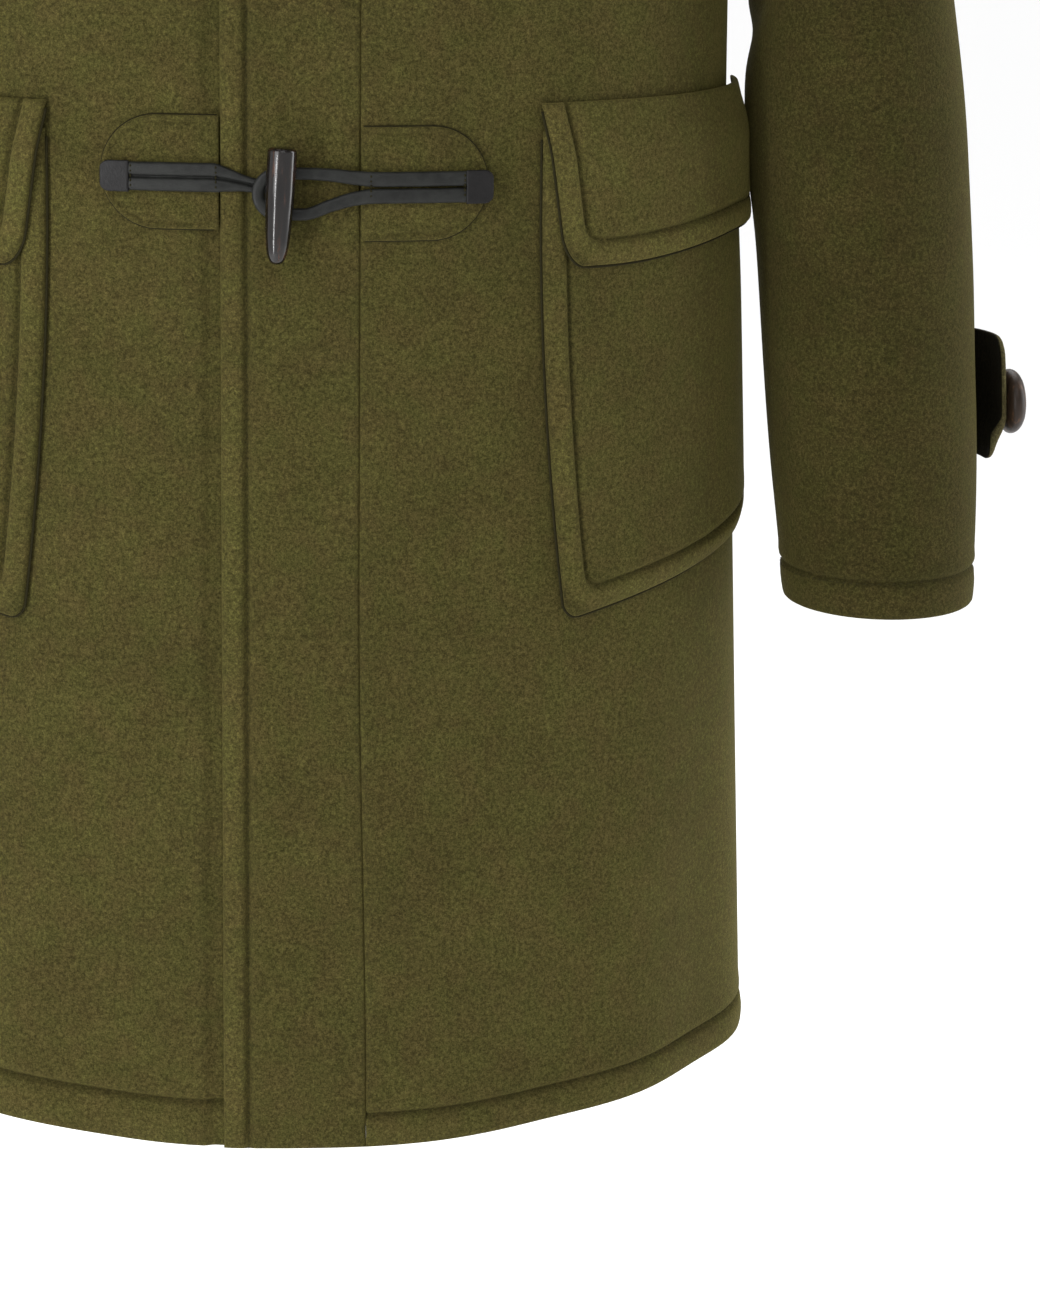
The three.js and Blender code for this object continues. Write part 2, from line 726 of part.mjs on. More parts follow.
// A point on the left sleeve at a turn and a level, moved out from the cloth
function sleeveAtLevel(turn, z, out) {
  let low = 0;
  let high = CUFF;
  for (let k = 0; k < 30; k++) {
    const middle = (low + high) / 2;
    if (sleeveSurface(turn, middle).z > z) low = middle;
    else high = middle;
  }
  return sleevePoint(turn, (low + high) / 2, out);
}

// The cuff tab is sewn down behind and stands off the sleeve where its button sits
function addCuffTab(side, name, buttonName) {
  const floatAt = (t, v) => {
    const full = TAB_STAND - TAB_DROOP * ease((2 * v - 1.35) / 0.65);
    return TAB_FLOAT + (full - TAB_FLOAT) * ease(t / 0.85);
  };
  const sections = spread(9, (t) => {
    const turn = radians(TAB_FIRST_DEGREES + (TAB_LAST_DEGREES - TAB_FIRST_DEGREES) * t);
    const inset = roundedIn(TAB_CORNER, (1 - t) * TAB_LENGTH + 1);
    const levelAt = (v) => TAB_LEVEL + (TAB_HALF - inset) * (1 - 2 * v);
    const at = (out) => spread(5, (v) => sleeveAtLevel(turn, levelAt(v), floatAt(t, v) + out));
    return wallSection(at(CLOTH), at(0));
  });
  sweep(name, shadedMelton, mirrored(sections, side), false);

  const turn = radians(BUTTON_DEGREES);
  const level = TAB_LEVEL - BUTTON_DROP;
  const seat = sleeveAtLevel(turn, level, TAB_STAND + CLOTH + BUTTON_GAP);
  const axis = seat.clone().sub(sleeveAtLevel(turn, level, 0)).normalize();
  const mirror = (p) => p.setX(p.x * side);
  const first = vector(0, 0, 1).addScaledVector(axis, -axis.z).normalize();
  turned(buttonName, horn, BUTTON, 16, mirror(seat), mirror(axis), mirror(first));
}

addFronts();
addPlacket();
addBack();
for (const [word, side] of [["left", 1], ["right", -1]]) {
  addSleeve(word + "_sleeve", side);
  addHood("hood_" + word, side);
  sewnOn(word + "_pocket", side, POCKET);
  sewnOn(word + "_flap", side, FLAP);
  addCuffTab(side, word + "_cuff_tab", word + "_cuff_button");
}
TOGGLE_LEVELS.forEach((middle, k) => {
  const number = k + 1;
  addPatch("patch_left_" + number, 1, middle + LEFT_PATCH_RISE);
  addPatch("patch_right_" + number, -1, middle + RIGHT_PATCH_RISE);
  addToggleStrap("toggle_strap_" + number, middle);
  addLoopStrap("loop_strap_" + number, middle);
  addToggle("toggle_" + number, middle);
});

export default coat;
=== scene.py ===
import math

import bmesh
import bpy
import numpy as np
from mathutils import Matrix, Vector


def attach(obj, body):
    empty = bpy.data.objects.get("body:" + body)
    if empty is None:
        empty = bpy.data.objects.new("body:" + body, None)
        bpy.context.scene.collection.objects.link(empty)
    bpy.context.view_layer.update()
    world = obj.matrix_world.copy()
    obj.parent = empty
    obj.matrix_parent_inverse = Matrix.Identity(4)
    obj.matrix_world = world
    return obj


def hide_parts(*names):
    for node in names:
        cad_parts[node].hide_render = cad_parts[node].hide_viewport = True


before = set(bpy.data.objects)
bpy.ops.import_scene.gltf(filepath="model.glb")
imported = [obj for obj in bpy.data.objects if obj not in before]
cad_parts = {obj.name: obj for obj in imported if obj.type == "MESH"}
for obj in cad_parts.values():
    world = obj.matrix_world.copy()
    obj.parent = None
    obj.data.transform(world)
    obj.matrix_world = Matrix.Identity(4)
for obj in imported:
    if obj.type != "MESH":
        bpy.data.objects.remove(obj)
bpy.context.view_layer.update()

# The looks of a duffle coat in heavy olive melton, filled out as if worn. Every length below is in
# millimetres in the frame of the CAD part, and becomes metres when a mesh is made.
MM = 0.001

# Driving sizes, the same as in the CAD part
CLOTH = 3.0
HEM_FRONT = -956.0
HEM_SIDE = -935.0
HEM_BACK = -946.0
HEM_SQUARE = 3.4
PLACKET_HALF = 37.0
PLACKET_TAPER = 4.6
PLACKET_TAPER_LEVELS = (-950.0, -650.0)
PLACKET_LIFT = 1.6
LIFT_FADE = 55.0
LAP_EDGE = 33.0
LAP_DIP = -2.3
LAP_FOLD = -48.0
LAP_FOLD_WIDTH = 6.0
NECK_HALF = 82.0
NECK_MIDDLE_Y = -10.0
NECK_HALF_DEPTH = 81.0
FACE_SPREAD_DEGREES = 130.0
NECK_DROP_FRONT = 85.0
NECK_DROP_BACK = 20.0
ARMHOLE_TOP = -52.0
ARMHOLE_BOTTOM = -246.0
ARMHOLE_MIDDLE = (ARMHOLE_TOP + ARMHOLE_BOTTOM) / 2
ARMHOLE_HALF = (ARMHOLE_TOP - ARMHOLE_BOTTOM) / 2
ARMHOLE_FRONT_DEGREES = 20.0
ARMHOLE_BACK_DEGREES = 18.0
SEAM_SWING_DEGREES = 6.0
SHOULDER_BREAK = -34.0
TOGGLE_LEVELS = [-454.0, -314.0, -174.0]
TOGGLE_ACROSS = -7.0
TOGGLE_OUT = 16.0
TOGGLE_TOP_RISE = 20.6
TOGGLE_LEAN = 0.054
PATCH_END = 96.0
PATCH_HALF = 28.0
PATCH_CLOTH = 2.0
PATCH_FLOAT = 0.5
PATCH_RISE = {1: 1.5, -1: 6.5}
TOGGLE_STRAP_RISE = 4.4
STRAP_THICK = 2.6
POCKET_FLOAT = 1.0
POCKET_TOP = -428.0
POCKET_FRONT = 124.5
POCKET_LEAN = 15.0
POCKET_LEAN_START = -450.0
POCKET_LEAN_LENGTH = 220.0
POCKET_BOTTOM = -677.0
POCKET_BOTTOM_SLOPE = 0.19
POCKET_BOTTOM_START = 141.0
POCKET_SWELL = 2.6
FLAP_TOP = -414.0
FLAP_FRONT = 123.5
FLAP_LEAN = 10.0
FLAP_LENGTH = 68.0
FLAP_BOTTOM = -495.7
FLAP_BOTTOM_RISE = 8.0
FLAP_BOTTOM_START = 150.0
FLAP_BOTTOM_REACH = 120.0
FLAP_STAND = 6.9
FLAP_SIDE_STAND = 2.0
TAB_FIRST_DEGREES = -100.0
TAB_LAST_DEGREES = 4.0
TAB_LENGTH = 110.0
TAB_LEVEL = -583.0
TAB_HALF = 33.0
TAB_CORNER = 14.0
TAB_FLOAT = 0.6
TAB_STAND = 12.8
TAB_DROOP = 6.0
BUTTON_DEGREES = -8.0
BUTTON_DROP = 2.7
BUTTON_GAP = 0.4

# Sizes of the sewing
HEM_STITCH = {"left": 18.0, "right": 25.0, "back": 20.0}
EDGE_STITCH = 12.5
PLACKET_STITCH = 13.0
CUFF_STITCH = 20.0
FACE_STITCH = 20.0
TAB_STITCH = 6.0
STITCH_PITCH = 3.8
STITCH_LENGTH = 2.9
STITCH_RADIUS = 0.36
STITCH_PROFILE = np.array([(-0.5, 0.35), (0.0, 1.0), (0.5, 0.35)])
SEAM_PRESS = 0.1
EDGE_ROUND = 2.2
CORNER_ROUND = 8.0
SEAM_SINK = 2.1
SEAM_LAP = 0.9
SEAM_FADE = 9.0
HEAD_FADE = 30.0
NEAR_FADE = 25.0
LONG_FADE = 60.0
# How much painted light the full strip beside a line of sewing gets, and how much painted shade the sewing
# line and the edge get
WELT_PAINTED_LIGHT = 0.2
PLAIN_PAINTED_LIGHT = 0.1
SEWING_PAINTED_SHADE = 0.3
EDGE_PAINTED_SHADE = 0.2


def table(names, rows):
    return dict(zip(names.split(), np.array(rows, float).T))


BODY = table("z half front back square", [
    [-965, 248.6, 158, 154, 2.1],
    [-780, 241, 155, 149, 2.15],
    [-600, 234.5, 151, 143, 2.2],
    [-530, 231.5, 149, 140, 2.2],
    [-450, 227.5, 147, 137, 2.25],
    [-330, 226.5, 140, 130, 2.3],
    [-245, 227, 134, 126, 2.3],
    [-180, 227, 124, 118, 2.25],
    [-130, 227, 110, 106, 2.2],
    [-90, 225, 93, 92, 2.1],
    [-52, 221, 74, 76, 2],
    [-30, 162, 74, 73, 2],
    [-12, 114, 73, 71, 2],
    [0, 82, 70, 68, 2],
    [6, 70, 62, 62, 2],
])

SLEEVE = table("s outerX outerZ innerX innerZ middleY depth", [
    [0, 224, -52, 231, -246, 0, 60],
    [1, 240, -56, 234.5, -255, 0, 64],
    [2, 258, -68, 236, -270, 0, 68],
    [3, 276, -93, 236.5, -292, 0, 72],
    [4, 291, -130, 237, -322, -1, 75],
    [5, 306, -178, 237.6, -355, -3, 76],
    [6, 320, -235, 239, -390, -6, 75],
    [7, 333, -300, 241, -428, -10, 73],
    [8, 344, -370, 243, -468, -15, 70],
    [9, 353, -445, 245.5, -510, -20, 66],
    [10, 359.5, -520, 249, -560, -25, 62],
    [11, 363.5, -590, 253.5, -610, -29, 59],
    [12, 364.5, -645, 258.5, -652, -32, 57],
    [13, 364, -689, 263, -689, -34, 56],
])

HOOD = table("s frontY frontZ backY backZ half rise face", [
    [1, -92, -26, 74, 36, 87, 32, 24],
    [2, -93, 55, 108, 95, 104, 12, 40],
    [3, -98, 138, 128, 158, 112, 0, 43],
    [4, -97, 208, 126, 218, 104, 0, 38],
    [5, -90, 252, 112, 262, 80, 0, 28],
    [6, -80, 276, 96, 284, 44, 0, 15],
    [7, -72, 284, 84, 292, 0, 0, 0],
])

TOGGLE_STRAP = table("across wide out", [
    [-95, 8, 2.9],
    [-94, 11, 3.1],
    [-92, 13.6, 3.2],
    [-66, 14.3, 3.2],
    [-40, 14.3, 3.2],
    [-32, 11.4, 2.7],
    [-24, 8, 2.5],
    [-12.5, 6.4, 2.6],
    [-8.5, 6.2, 5.6],
    [-4, 6, 5.7],
])

LOOP_STRAP = table("across upper lower wide out", [
    [96, 4.1, -4.1, 7.4, 3.8],
    [68, 4.1, -4.1, 7.4, 4.2],
    [40, 4.1, -4.1, 7.4, 4.9],
    [30, 4.8, -5.2, 7, 4.6],
    [18, 6.2, -8.6, 6.4, 4.6],
    [4, 7, -13, 6, 5.6],
    [-8, 7, -13, 6, 5.8],
])

HORN = table("along radius", [
    [0, 0],
    [0.01, 4.9],
    [0.35, 6.3],
    [1.4, 7.2],
    [3.0, 7.3],
    [18, 7.3],
    [32, 6.8],
    [45, 6],
    [51.5, 5.1],
    [55, 3.9],
    [56.8, 2.4],
    [57.5, 0],
])

BUTTON = table("along radius", [
    [0, 0], [0, 12.0], [0.5, 13.9], [1.4, 15.6], [2.6, 16.8], [4.0, 17.3],
    [5.4, 17.3], [6.8, 16.8], [8.0, 15.9], [9.0, 14.8], [9.7, 13.6], [10.0, 12.5],
    [9.8, 11.4], [9.1, 10.5], [8.3, 9.4], [7.8, 8.0], [7.6, 6.1], [7.6, 0],
])

# The leather end of each strap, as its outer and inner place, width and distance out, and its rows of tacks,
# as their place, width and distance out
STRAP_SEWING = {
    "toggle_strap": {"end": (-95.5, -81, 15.4, 6.7), "tacks": [(-80.2, 14.3, 6.1), (-38.5, 14.0, 6.1)]},
    "loop_strap": {"end": (97.5, 84, 16.6, 7.6), "tacks": [(83.2, 15.4, 7.0), (37, 15.4, 7.7)]},
}

# Soft folds of the body: place along the cloth from the centre front, levels where each starts and is
# full, half width and height, and how far it leans sideways over its length
BODY_FOLDS = table("arc top full wide high lean", [
    [178, -690, -930, 30, 2.2, 10],
    [128, -700, -940, 24, -1.5, 6],
    [232, -650, -900, 30, -2.4, 8],
    [275, -560, -860, 30, 1.6, 4],
    [84, -640, -930, 22, 0.9, -5],
    [-92, -620, -900, 26, -1.3, -6],
    [-150, -690, -930, 30, 2.0, -12],
    [-205, -660, -900, 28, -2.3, -8],
    [-262, -560, -880, 32, 2.5, 4],
    [345, -300, -760, 30, -5.0, 16],
    [410, -240, -700, 27, 8.0, 6],
    [470, -330, -820, 25, -8.0, -14],
    [-335, -300, -790, 31, -4.6, -12],
    [-402, -250, -690, 26, 8.2, -6],
    [-480, -360, -840, 24, -7.4, 12],
    [-565, -300, -880, 22, 5.2, -8],
    [540, -420, -900, 26, 7.0, 4],
])

# Creases of the left sleeve and the left hood half: their middle, reach, half width, height and slant
SLEEVE_FOLDS = table("turn s long wide high slant", [
    [150, 4.6, 62, 0.34, -3.6, 0.012],
    [135, 5.6, 58, 0.36, -3.0, -0.010],
    [60, 6.9, 58, 0.50, -2.0, 0.010],
    [205, 6.3, 55, 0.36, -3.6, 0.014],
    [300, 5.2, 60, 0.46, -2.9, -0.012],
    [25, 8.6, 60, 0.60, 1.1, -0.012],
    [265, 8.0, 58, 0.40, -3.2, 0.010],
    [110, 9.4, 50, 0.46, -1.6, -0.010],
    [320, 10.2, 55, 0.46, -1.8, 0.008],
    [70, 3.0, 40, 0.44, -2.0, 0.020],
    [285, 2.8, 42, 0.44, -2.4, -0.020],
    [180, 7.35, 46, 1.1, 4.4, 0],
])
HOOD_FOLDS = table("turn s long wide high slant", [
    [150, 1.3, 55, 0.26, -3.8, 0.002],
    [120, 1.9, 50, 0.30, 2.6, -0.004],
    [165, 2.3, 40, 0.26, -2.6, 0.003],
    [85, 2.6, 40, 0.46, -3.2, 0.010],
    [60, 4.2, 36, 0.60, 2.2, -0.012],
    [110, 4.8, 44, 0.46, -2.6, 0.008],
])

# Distances from a plain edge that hold its round, and from one with a line of sewing
EDGE = [0, 0.22, 0.7, 1.5, 3.2]
PLAIN_EDGE = EDGE + [7]


def stitched(place, far=5.5):
    offsets = (-3.3, -2.3, -1.5, -0.8, 0, 0.8, 1.5, 2.3, 3.5, far)
    return EDGE + [place * 0.4, place * 0.58] + [place + d for d in offsets]


def ease(x):
    t = np.clip(x, 0, 1)
    return t * t * (3 - 2 * t)


# One column of a table at any place along its key, on a curve that never swings past the rows
def column(source, key, field, at):
    x, y = source[key], source[field]
    slope = np.diff(y) / np.diff(x)
    before, after = slope[:-1], slope[1:]
    total = np.where(before + after == 0, 1, before + after)
    inner = np.where(before * after > 0, 2 * before * after / total, 0)
    tangent = np.concatenate([slope[:1], inner, slope[-1:]])
    k = np.clip(np.searchsorted(x, at, side="right") - 1, 0, len(x) - 2)
    width = x[k + 1] - x[k]
    t = np.clip((at - x[k]) / width, 0, 1)
    rest = 1 - t
    value = (1 + 2 * t) * rest * rest * y[k] + t * rest * rest * width * tangent[k]
    return value + t * t * (3 - 2 * t) * y[k + 1] - t * t * rest * width * tangent[k + 1]


def point(x, y, z):
    return np.stack(np.broadcast_arrays(x, y, z), -1).astype(float)


def unit(v):
    return v / np.maximum(np.linalg.norm(v, axis=-1, keepdims=True), 1e-9)


def crossed(a, b):
    return unit(np.cross(a, b))


def mixed(a, b, t):
    return a + (b - a) * np.asarray(t)[..., None]


# The coat's outer surface at an angle from the centre front and a level
def body_ring(angle, z):
    sine, cosine = np.sin(angle), np.cos(angle)
    front, back = column(BODY, "z", "front", z), column(BODY, "z", "back", z)
    square = column(BODY, "z", "square", z)
    across = np.abs(sine) / column(BODY, "z", "half", z)
    depth = np.abs(cosine) / np.where(cosine > 0, front, back)
    reach = (across**square + depth**square) ** (-1 / square)
    return point(reach * sine, -reach * cosine, z)


def body_normal(angle, z):
    step = 0.002
    around = body_ring(angle + step, z) - body_ring(angle - step, z)
    upward = body_ring(angle, z + 1) - body_ring(angle, z - 1)
    return crossed(around, upward)


# Distances along each line of a grid of points from its start
def lengths_along(points, axis):
    steps = np.linalg.norm(np.diff(points, axis=axis), axis=-1)
    return np.concatenate([0 * np.take(steps, [0], axis), np.cumsum(steps, axis=axis)], axis=axis)


# Lengths along the cloth from the centre front, for every level and angle
LEVELS = np.linspace(-975, 6, 400)
ANGLES = np.radians(np.arange(0, 181.0))
LENGTHS = lengths_along(body_ring(ANGLES[None, :], LEVELS[:, None]), 1)


def arc_at(angle, z):
    row = np.clip((z - LEVELS[0]) / (LEVELS[1] - LEVELS[0]), 0, len(LEVELS) - 1.001)
    col = np.clip(np.abs(angle) / ANGLES[1], 0, len(ANGLES) - 1.001)
    i, j = np.floor(row).astype(int), np.floor(col).astype(int)
    u, v = row - i, col - j
    low = LENGTHS[i, j] * (1 - v) + LENGTHS[i, j + 1] * v
    high = LENGTHS[i + 1, j] * (1 - v) + LENGTHS[i + 1, j + 1] * v
    return low * (1 - u) + high * u


def bisected(value, target, low, high, steps=34):
    low = np.zeros_like(target) + low
    high = np.zeros_like(target) + high
    for _ in range(steps):
        middle = (low + high) / 2
        less = value(middle) < target
        low, high = np.where(less, middle, low), np.where(less, high, middle)
    return (low + high) / 2


def angle_at(arc, z):
    arc, z = np.broadcast_arrays(np.asarray(arc, float), np.asarray(z, float))
    return np.sign(arc) * bisected(lambda a: arc_at(a, z), np.abs(arc), 0.0, math.pi)


def angle_at_x(x, z):
    x, z = np.broadcast_arrays(np.asarray(x, float), np.asarray(z, float))
    return bisected(lambda a: body_ring(a, z)[..., 0], x, 0.0, math.pi / 2)


def cloth_point(arc, z, out):
    angle = angle_at(arc, z)
    return body_ring(angle, z) + body_normal(angle, z) * np.asarray(out)[..., None]


def left_lift(x):
    return PLACKET_LIFT * (1 - ease((x - PLACKET_HALF) / LIFT_FADE))


def right_lift(x):
    return LAP_DIP * ease((x - LAP_FOLD) / LAP_FOLD_WIDTH)


def body_folds(arc, z):
    total = np.zeros(np.broadcast(arc, z).shape)
    rows = zip(*(BODY_FOLDS[name] for name in ("arc", "top", "full", "wide", "high", "lean")))
    for place, top, full, wide, high, lean in rows:
        down = ease((top - z) / (top - full))
        middle = place + lean * (top - z) / (top - full)
        total = total + high * down * np.exp(-(((arc - middle) / wide) ** 2))
    return total


def surface_folds(folds, turn_degrees, s):
    total = np.zeros(np.broadcast(turn_degrees, s).shape)
    names = ("turn", "s", "long", "wide", "high", "slant")
    for turn, middle, long, wide, high, slant in zip(*(folds[name] for name in names)):
        away = (turn_degrees - turn + 180) % 360 - 180
        line = (s - middle - slant * away) / wide
        total = total + high * np.exp(-(line**2) - (away / long) ** 2)
    return total


def seam_angle(z):
    down = (ARMHOLE_TOP - z) / (ARMHOLE_TOP - ARMHOLE_BOTTOM)
    return np.radians(90 + SEAM_SWING_DEGREES * ease(down))


def armhole_reach(z):
    return np.sqrt(np.maximum(0, 1 - ((z - ARMHOLE_MIDDLE) / ARMHOLE_HALF) ** 2))


def armhole_side(z, degrees):
    return seam_angle(z) + np.radians(degrees) * armhole_reach(z)


def neck_half(z, drop):
    return NECK_HALF * np.sqrt(np.maximum(0, 1 - (z / drop) ** 2))


def hem_level(angle):
    middle = np.where(np.cos(angle) > 0, HEM_FRONT, HEM_BACK)
    return HEM_SIDE + (middle - HEM_SIDE) * (1 - np.abs(np.sin(angle)) ** HEM_SQUARE)


def back_neck_level(angle):
    angle = np.asarray(angle, float)
    inside = lambda z: neck_half(z, NECK_DROP_BACK) - body_ring(angle, z)[..., 0]
    return bisected(inside, np.zeros_like(angle), -NECK_DROP_BACK, 0.0)


# How far a rounded edge falls away near it
def rolled(distance, radius=EDGE_ROUND):
    d = np.clip(distance, 0, radius)
    return radius - np.sqrt(np.maximum(radius**2 - (radius - d) ** 2, 0))


# A row of sewing pulls the cloth in along a line. It leaves it full between that line and the edge, and a
# little raised past the line.
RAISED_SHARE = 0.3
RAISED_PLACE = 4.5
RAISED_WIDTH = 3.0


def sewn(distance, place, deep=2.0, wide=1.8, puff=1.4):
    line = -deep * np.exp(-(((distance - place) / wide) ** 2))
    fullness = puff * np.sin(np.pi * np.clip(distance / place, 0, 1)) ** 0.7
    past = (distance - place - RAISED_PLACE) / RAISED_WIDTH
    return line + fullness + RAISED_SHARE * deep * np.exp(-(past**2))


# Painted light and shade: a painted highlight on the full strip beside an edge, and painted shade along its
# sewing and at the edge
def painted_light_and_shade(distance, place, light=WELT_PAINTED_LIGHT):
    full = light * np.sin(np.pi * np.clip(distance / place, 0, 1)) ** 0.6
    sewing = SEWING_PAINTED_SHADE * np.exp(-(((distance - place) / 1.5) ** 2))
    return full - sewing - EDGE_PAINTED_SHADE * np.exp(-np.maximum(distance, 0) / 0.5)


# The smaller round of a wall's inner side
def rolled_inside(distance):
    return rolled(distance, CLOTH - EDGE_ROUND)


# The outer and the inner points of a cloth wall
def walls(surface, normal, relief, rim):
    outer = surface + normal * (relief - rolled(rim))[..., None]
    return outer, surface + normal * (relief - CLOTH + rolled_inside(rim))[..., None]


# The placket is a little narrower above the hem, on its sewn side
def placket_end(z):
    low, high = PLACKET_TAPER_LEVELS
    return PLACKET_HALF - PLACKET_TAPER * ease((z - low) / (high - low))


# Places from first to last: at given distances from both ends, and evenly between
def across(first, last, near, count, far=None):
    near = np.array(near, float)
    far = near if far is None else np.array(far, float)
    first, last = np.asarray(first, float)[..., None], np.asarray(last, float)[..., None]
    width = last - first
    squeeze = np.minimum(1, np.abs(width) / (2.5 * (near[-1] + far[-1])))
    sign = np.sign(width)
    start = first + sign * near * squeeze
    end = last - sign * far[::-1] * squeeze
    t = np.linspace(0, 1, count + 1)[1:-1]
    middle = start[..., -1:] + (end[..., :1] - start[..., -1:]) * t
    return np.concatenate([start, middle, end], -1)


def levels_from(*groups):
    merged = []
    for z in sorted(np.concatenate([np.asarray(g, float) for g in groups])):
        if not merged or z - merged[-1] > 0.6:
            merged.append(z)
    return np.array(merged)


# The faces of a grid of point numbers, closed round if it wraps
def quads_of(grid, wraps):
    wide = np.concatenate([grid, grid[:, :1]], 1) if wraps else grid
    return np.stack([wide[:-1, :-1], wide[:-1, 1:], wide[1:, 1:], wide[1:, :-1]], -1).reshape(-1, 4)


# A closed thin shell of an outer and an inner grid of points that share their edges
def shell_mesh(outer, inner, wraps=False):
    rows, cols = outer.shape[:2]
    edge = np.zeros((rows, cols), bool)
    edge[[0, -1], :] = True
    if not wraps:
        edge[:, [0, -1]] = True
    front = np.arange(rows * cols).reshape(rows, cols)
    back = front.copy()
    back[~edge] = rows * cols + np.arange((~edge).sum())
    faces = np.concatenate([quads_of(front, wraps), quads_of(back, wraps)[:, ::-1]])
    points = np.concatenate([outer.reshape(-1, 3), inner[~edge]])
    return points, faces if volume_of(points, faces) > 0 else faces[:, ::-1]


def shell(name, outer, inner, material, side=1, wraps=False, inside_shade=None, painted_light=None):
    points, faces = shell_mesh(mirror(outer, side), mirror(inner, side), wraps)
    made = piece(name, points, faces, material)
    # Painted light and shade for each point of the outer grid, kept as a mesh attribute that the melton
    # reads
    if painted_light is not None:
        values = np.zeros(len(points))
        values[:painted_light.size] = painted_light.ravel()
        made.data.attributes.new("painted_light", "FLOAT", "POINT").data.foreach_set("value", values)
    # A second material on the inner faces, used to paint the shade of a hollow
    if inside_shade:
        made.data.materials.append(inside_shade)
        for face in made.data.polygons[len(faces) // 2:]:
            face.material_index = 1
    return made


def volume_of(points, faces):
    a, b, c = points[faces[:, 0]], points[faces[:, 1]], points[faces[:, 2]]
    total = np.einsum("ij,ij->", a, np.cross(b, c))
    if faces.shape[1] == 4:
        total += np.einsum("ij,ij->", a, np.cross(c, points[faces[:, 3]]))
    return total


def added(name, data):
    made = bpy.data.objects.new(name, data)
    bpy.context.scene.collection.objects.link(made)
    return made


# Makes one smooth mesh object that rides on the coat, from points in millimetres
def placed(name, points, faces, material):
    mesh = bpy.data.meshes.new(name)
    mesh.from_pydata((points * MM).tolist(), [], faces)
    mesh.shade_smooth()
    mesh.materials.append(material)
    made = added(name, mesh)
    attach(made, "root")
    return made


# The same with its faces turned outwards, in place of the CAD node of that name
def piece(name, points, faces, material):
    if volume_of(points, faces) < 0:
        faces = faces[:, ::-1]
    made = placed(name + "_made", points, faces.tolist(), material)
    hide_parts(name)
    return made


def mirror(points, side):
    return points * np.array([side, 1, 1])


# Lines of the outer grid of a piece, each given as rows and columns, with the directions out of the cloth
def grid_lines(outer, lines):
    down, along_rows = np.gradient(outer, axis=0), np.gradient(outer, axis=1)
    normals = crossed(along_rows, down)
    middle = outer.reshape(-1, 3).mean(0) * np.array([0.0, 0.0, 1.0])
    if np.mean(np.sum(normals * (outer - middle), -1)) < 0:
        normals = -normals
    return [(outer[rows, cols], normals[rows, cols]) for rows, cols in lines]


# Places along a line at a pitch, each with its direction forward, sideways and up
def framed(line, out, pitch):
    along = lengths_along(line, 0)
    places = np.arange(pitch * 0.5, along[-1] - pitch * 0.4, pitch)
    at, ahead, up = (
        np.stack([np.interp(x, along, field[:, k]) for k in range(3)], -1)
        for x, field in ((places, line), (places + 0.5, line), (places, out))
    )
    forward = unit(ahead - at)
    sideways = crossed(forward, up)
    return at, forward, sideways, crossed(sideways, forward)


# Rings joined in threes make stitches, and all joined make a cord
RING_SIDES = 6
RING_TURNS = np.arange(RING_SIDES) * 2 * math.pi / RING_SIDES
CORD_PITCH = 2.0


def joined_rings(rings, first):
    count = len(rings)
    base = first + np.arange(count - 1)[:, None] * RING_SIDES + np.arange(RING_SIDES)
    after = first + np.arange(count - 1)[:, None] * RING_SIDES + (np.arange(RING_SIDES) + 1) % RING_SIDES
    sides = np.stack([base, after, after + RING_SIDES, base + RING_SIDES], -1).reshape(-1, 4).tolist()
    start = list(range(first, first + RING_SIDES))
    end = [first + (count - 1) * RING_SIDES + k for k in range(RING_SIDES)]
    return sides + [start[::-1], end]


def ringed(centre, sideways, up, radius):
    turns = RING_TURNS[:, None]
    ring = sideways[..., None, :] * np.cos(turns) + up[..., None, :] * np.sin(turns)
    return centre[..., None, :] + ring * np.asarray(radius)[..., None, None]


def stitches(name, lines, material, side=1, pitch=STITCH_PITCH, length=STITCH_LENGTH, radius=STITCH_RADIUS):
    points, faces = [], []
    place, wide = STITCH_PROFILE.T
    along = (place * length)[:, None]
    rise = (radius * (0.5 - 1.6 * np.abs(2 * place)))[:, None]
    for line, out in lines:
        for at, forward, sideways, up in zip(*framed(line, out, pitch)):
            centre = at + forward * along + up * rise
            rings = ringed(centre, sideways + 0 * centre, up + 0 * centre, wide * radius)
            faces += joined_rings(rings, len(points) * 3 * RING_SIDES)
            points.append(rings.reshape(-1, 3))
    placed(name, mirror(np.concatenate(points), side), faces, material)


def cord(name, line, out, radius, material, side=1):
    at, _, sideways, up = framed(line, out, CORD_PITCH)
    rings = ringed(at, sideways, up, np.full(len(at), radius))
    placed(name, mirror(rings.reshape(-1, 3), side), joined_rings(rings, 0), material)


def sew(name, outer, lines, material, side=1):
    stitches(name, grid_lines(outer, lines), material, side)


# Materials

def noise(tree, coordinates, scale, detail, roughness=0.6):
    made = tree.nodes.new("ShaderNodeTexNoise")
    made.inputs["Scale"].default_value = scale
    made.inputs["Detail"].default_value = detail
    made.inputs["Roughness"].default_value = roughness
    tree.links.new(coordinates, made.inputs["Vector"])
    return made.outputs["Fac"]


# Stops of a ramp that goes through greys
def greys(pairs):
    return [(place, (grey,) * 3) for place, grey in pairs]


def ramp(tree, value, stops):
    made = tree.nodes.new("ShaderNodeValToRGB")
    elements = made.color_ramp.elements
    while len(elements) < len(stops):
        elements.new(0.5)
    for element, (place, color) in zip(elements, stops):
        element.position = place
        element.color = (*color, 1)
    tree.links.new(value, made.inputs["Fac"])
    return made.outputs["Color"]


def multiplied(tree, a, b, share=1.0):
    made = tree.nodes.new("ShaderNodeMix")
    made.data_type = "RGBA"
    made.blend_type = "MULTIPLY"
    made.inputs[0].default_value = share
    tree.links.new(a, made.inputs[6])
    tree.links.new(b, made.inputs[7])
    return made.outputs[2]


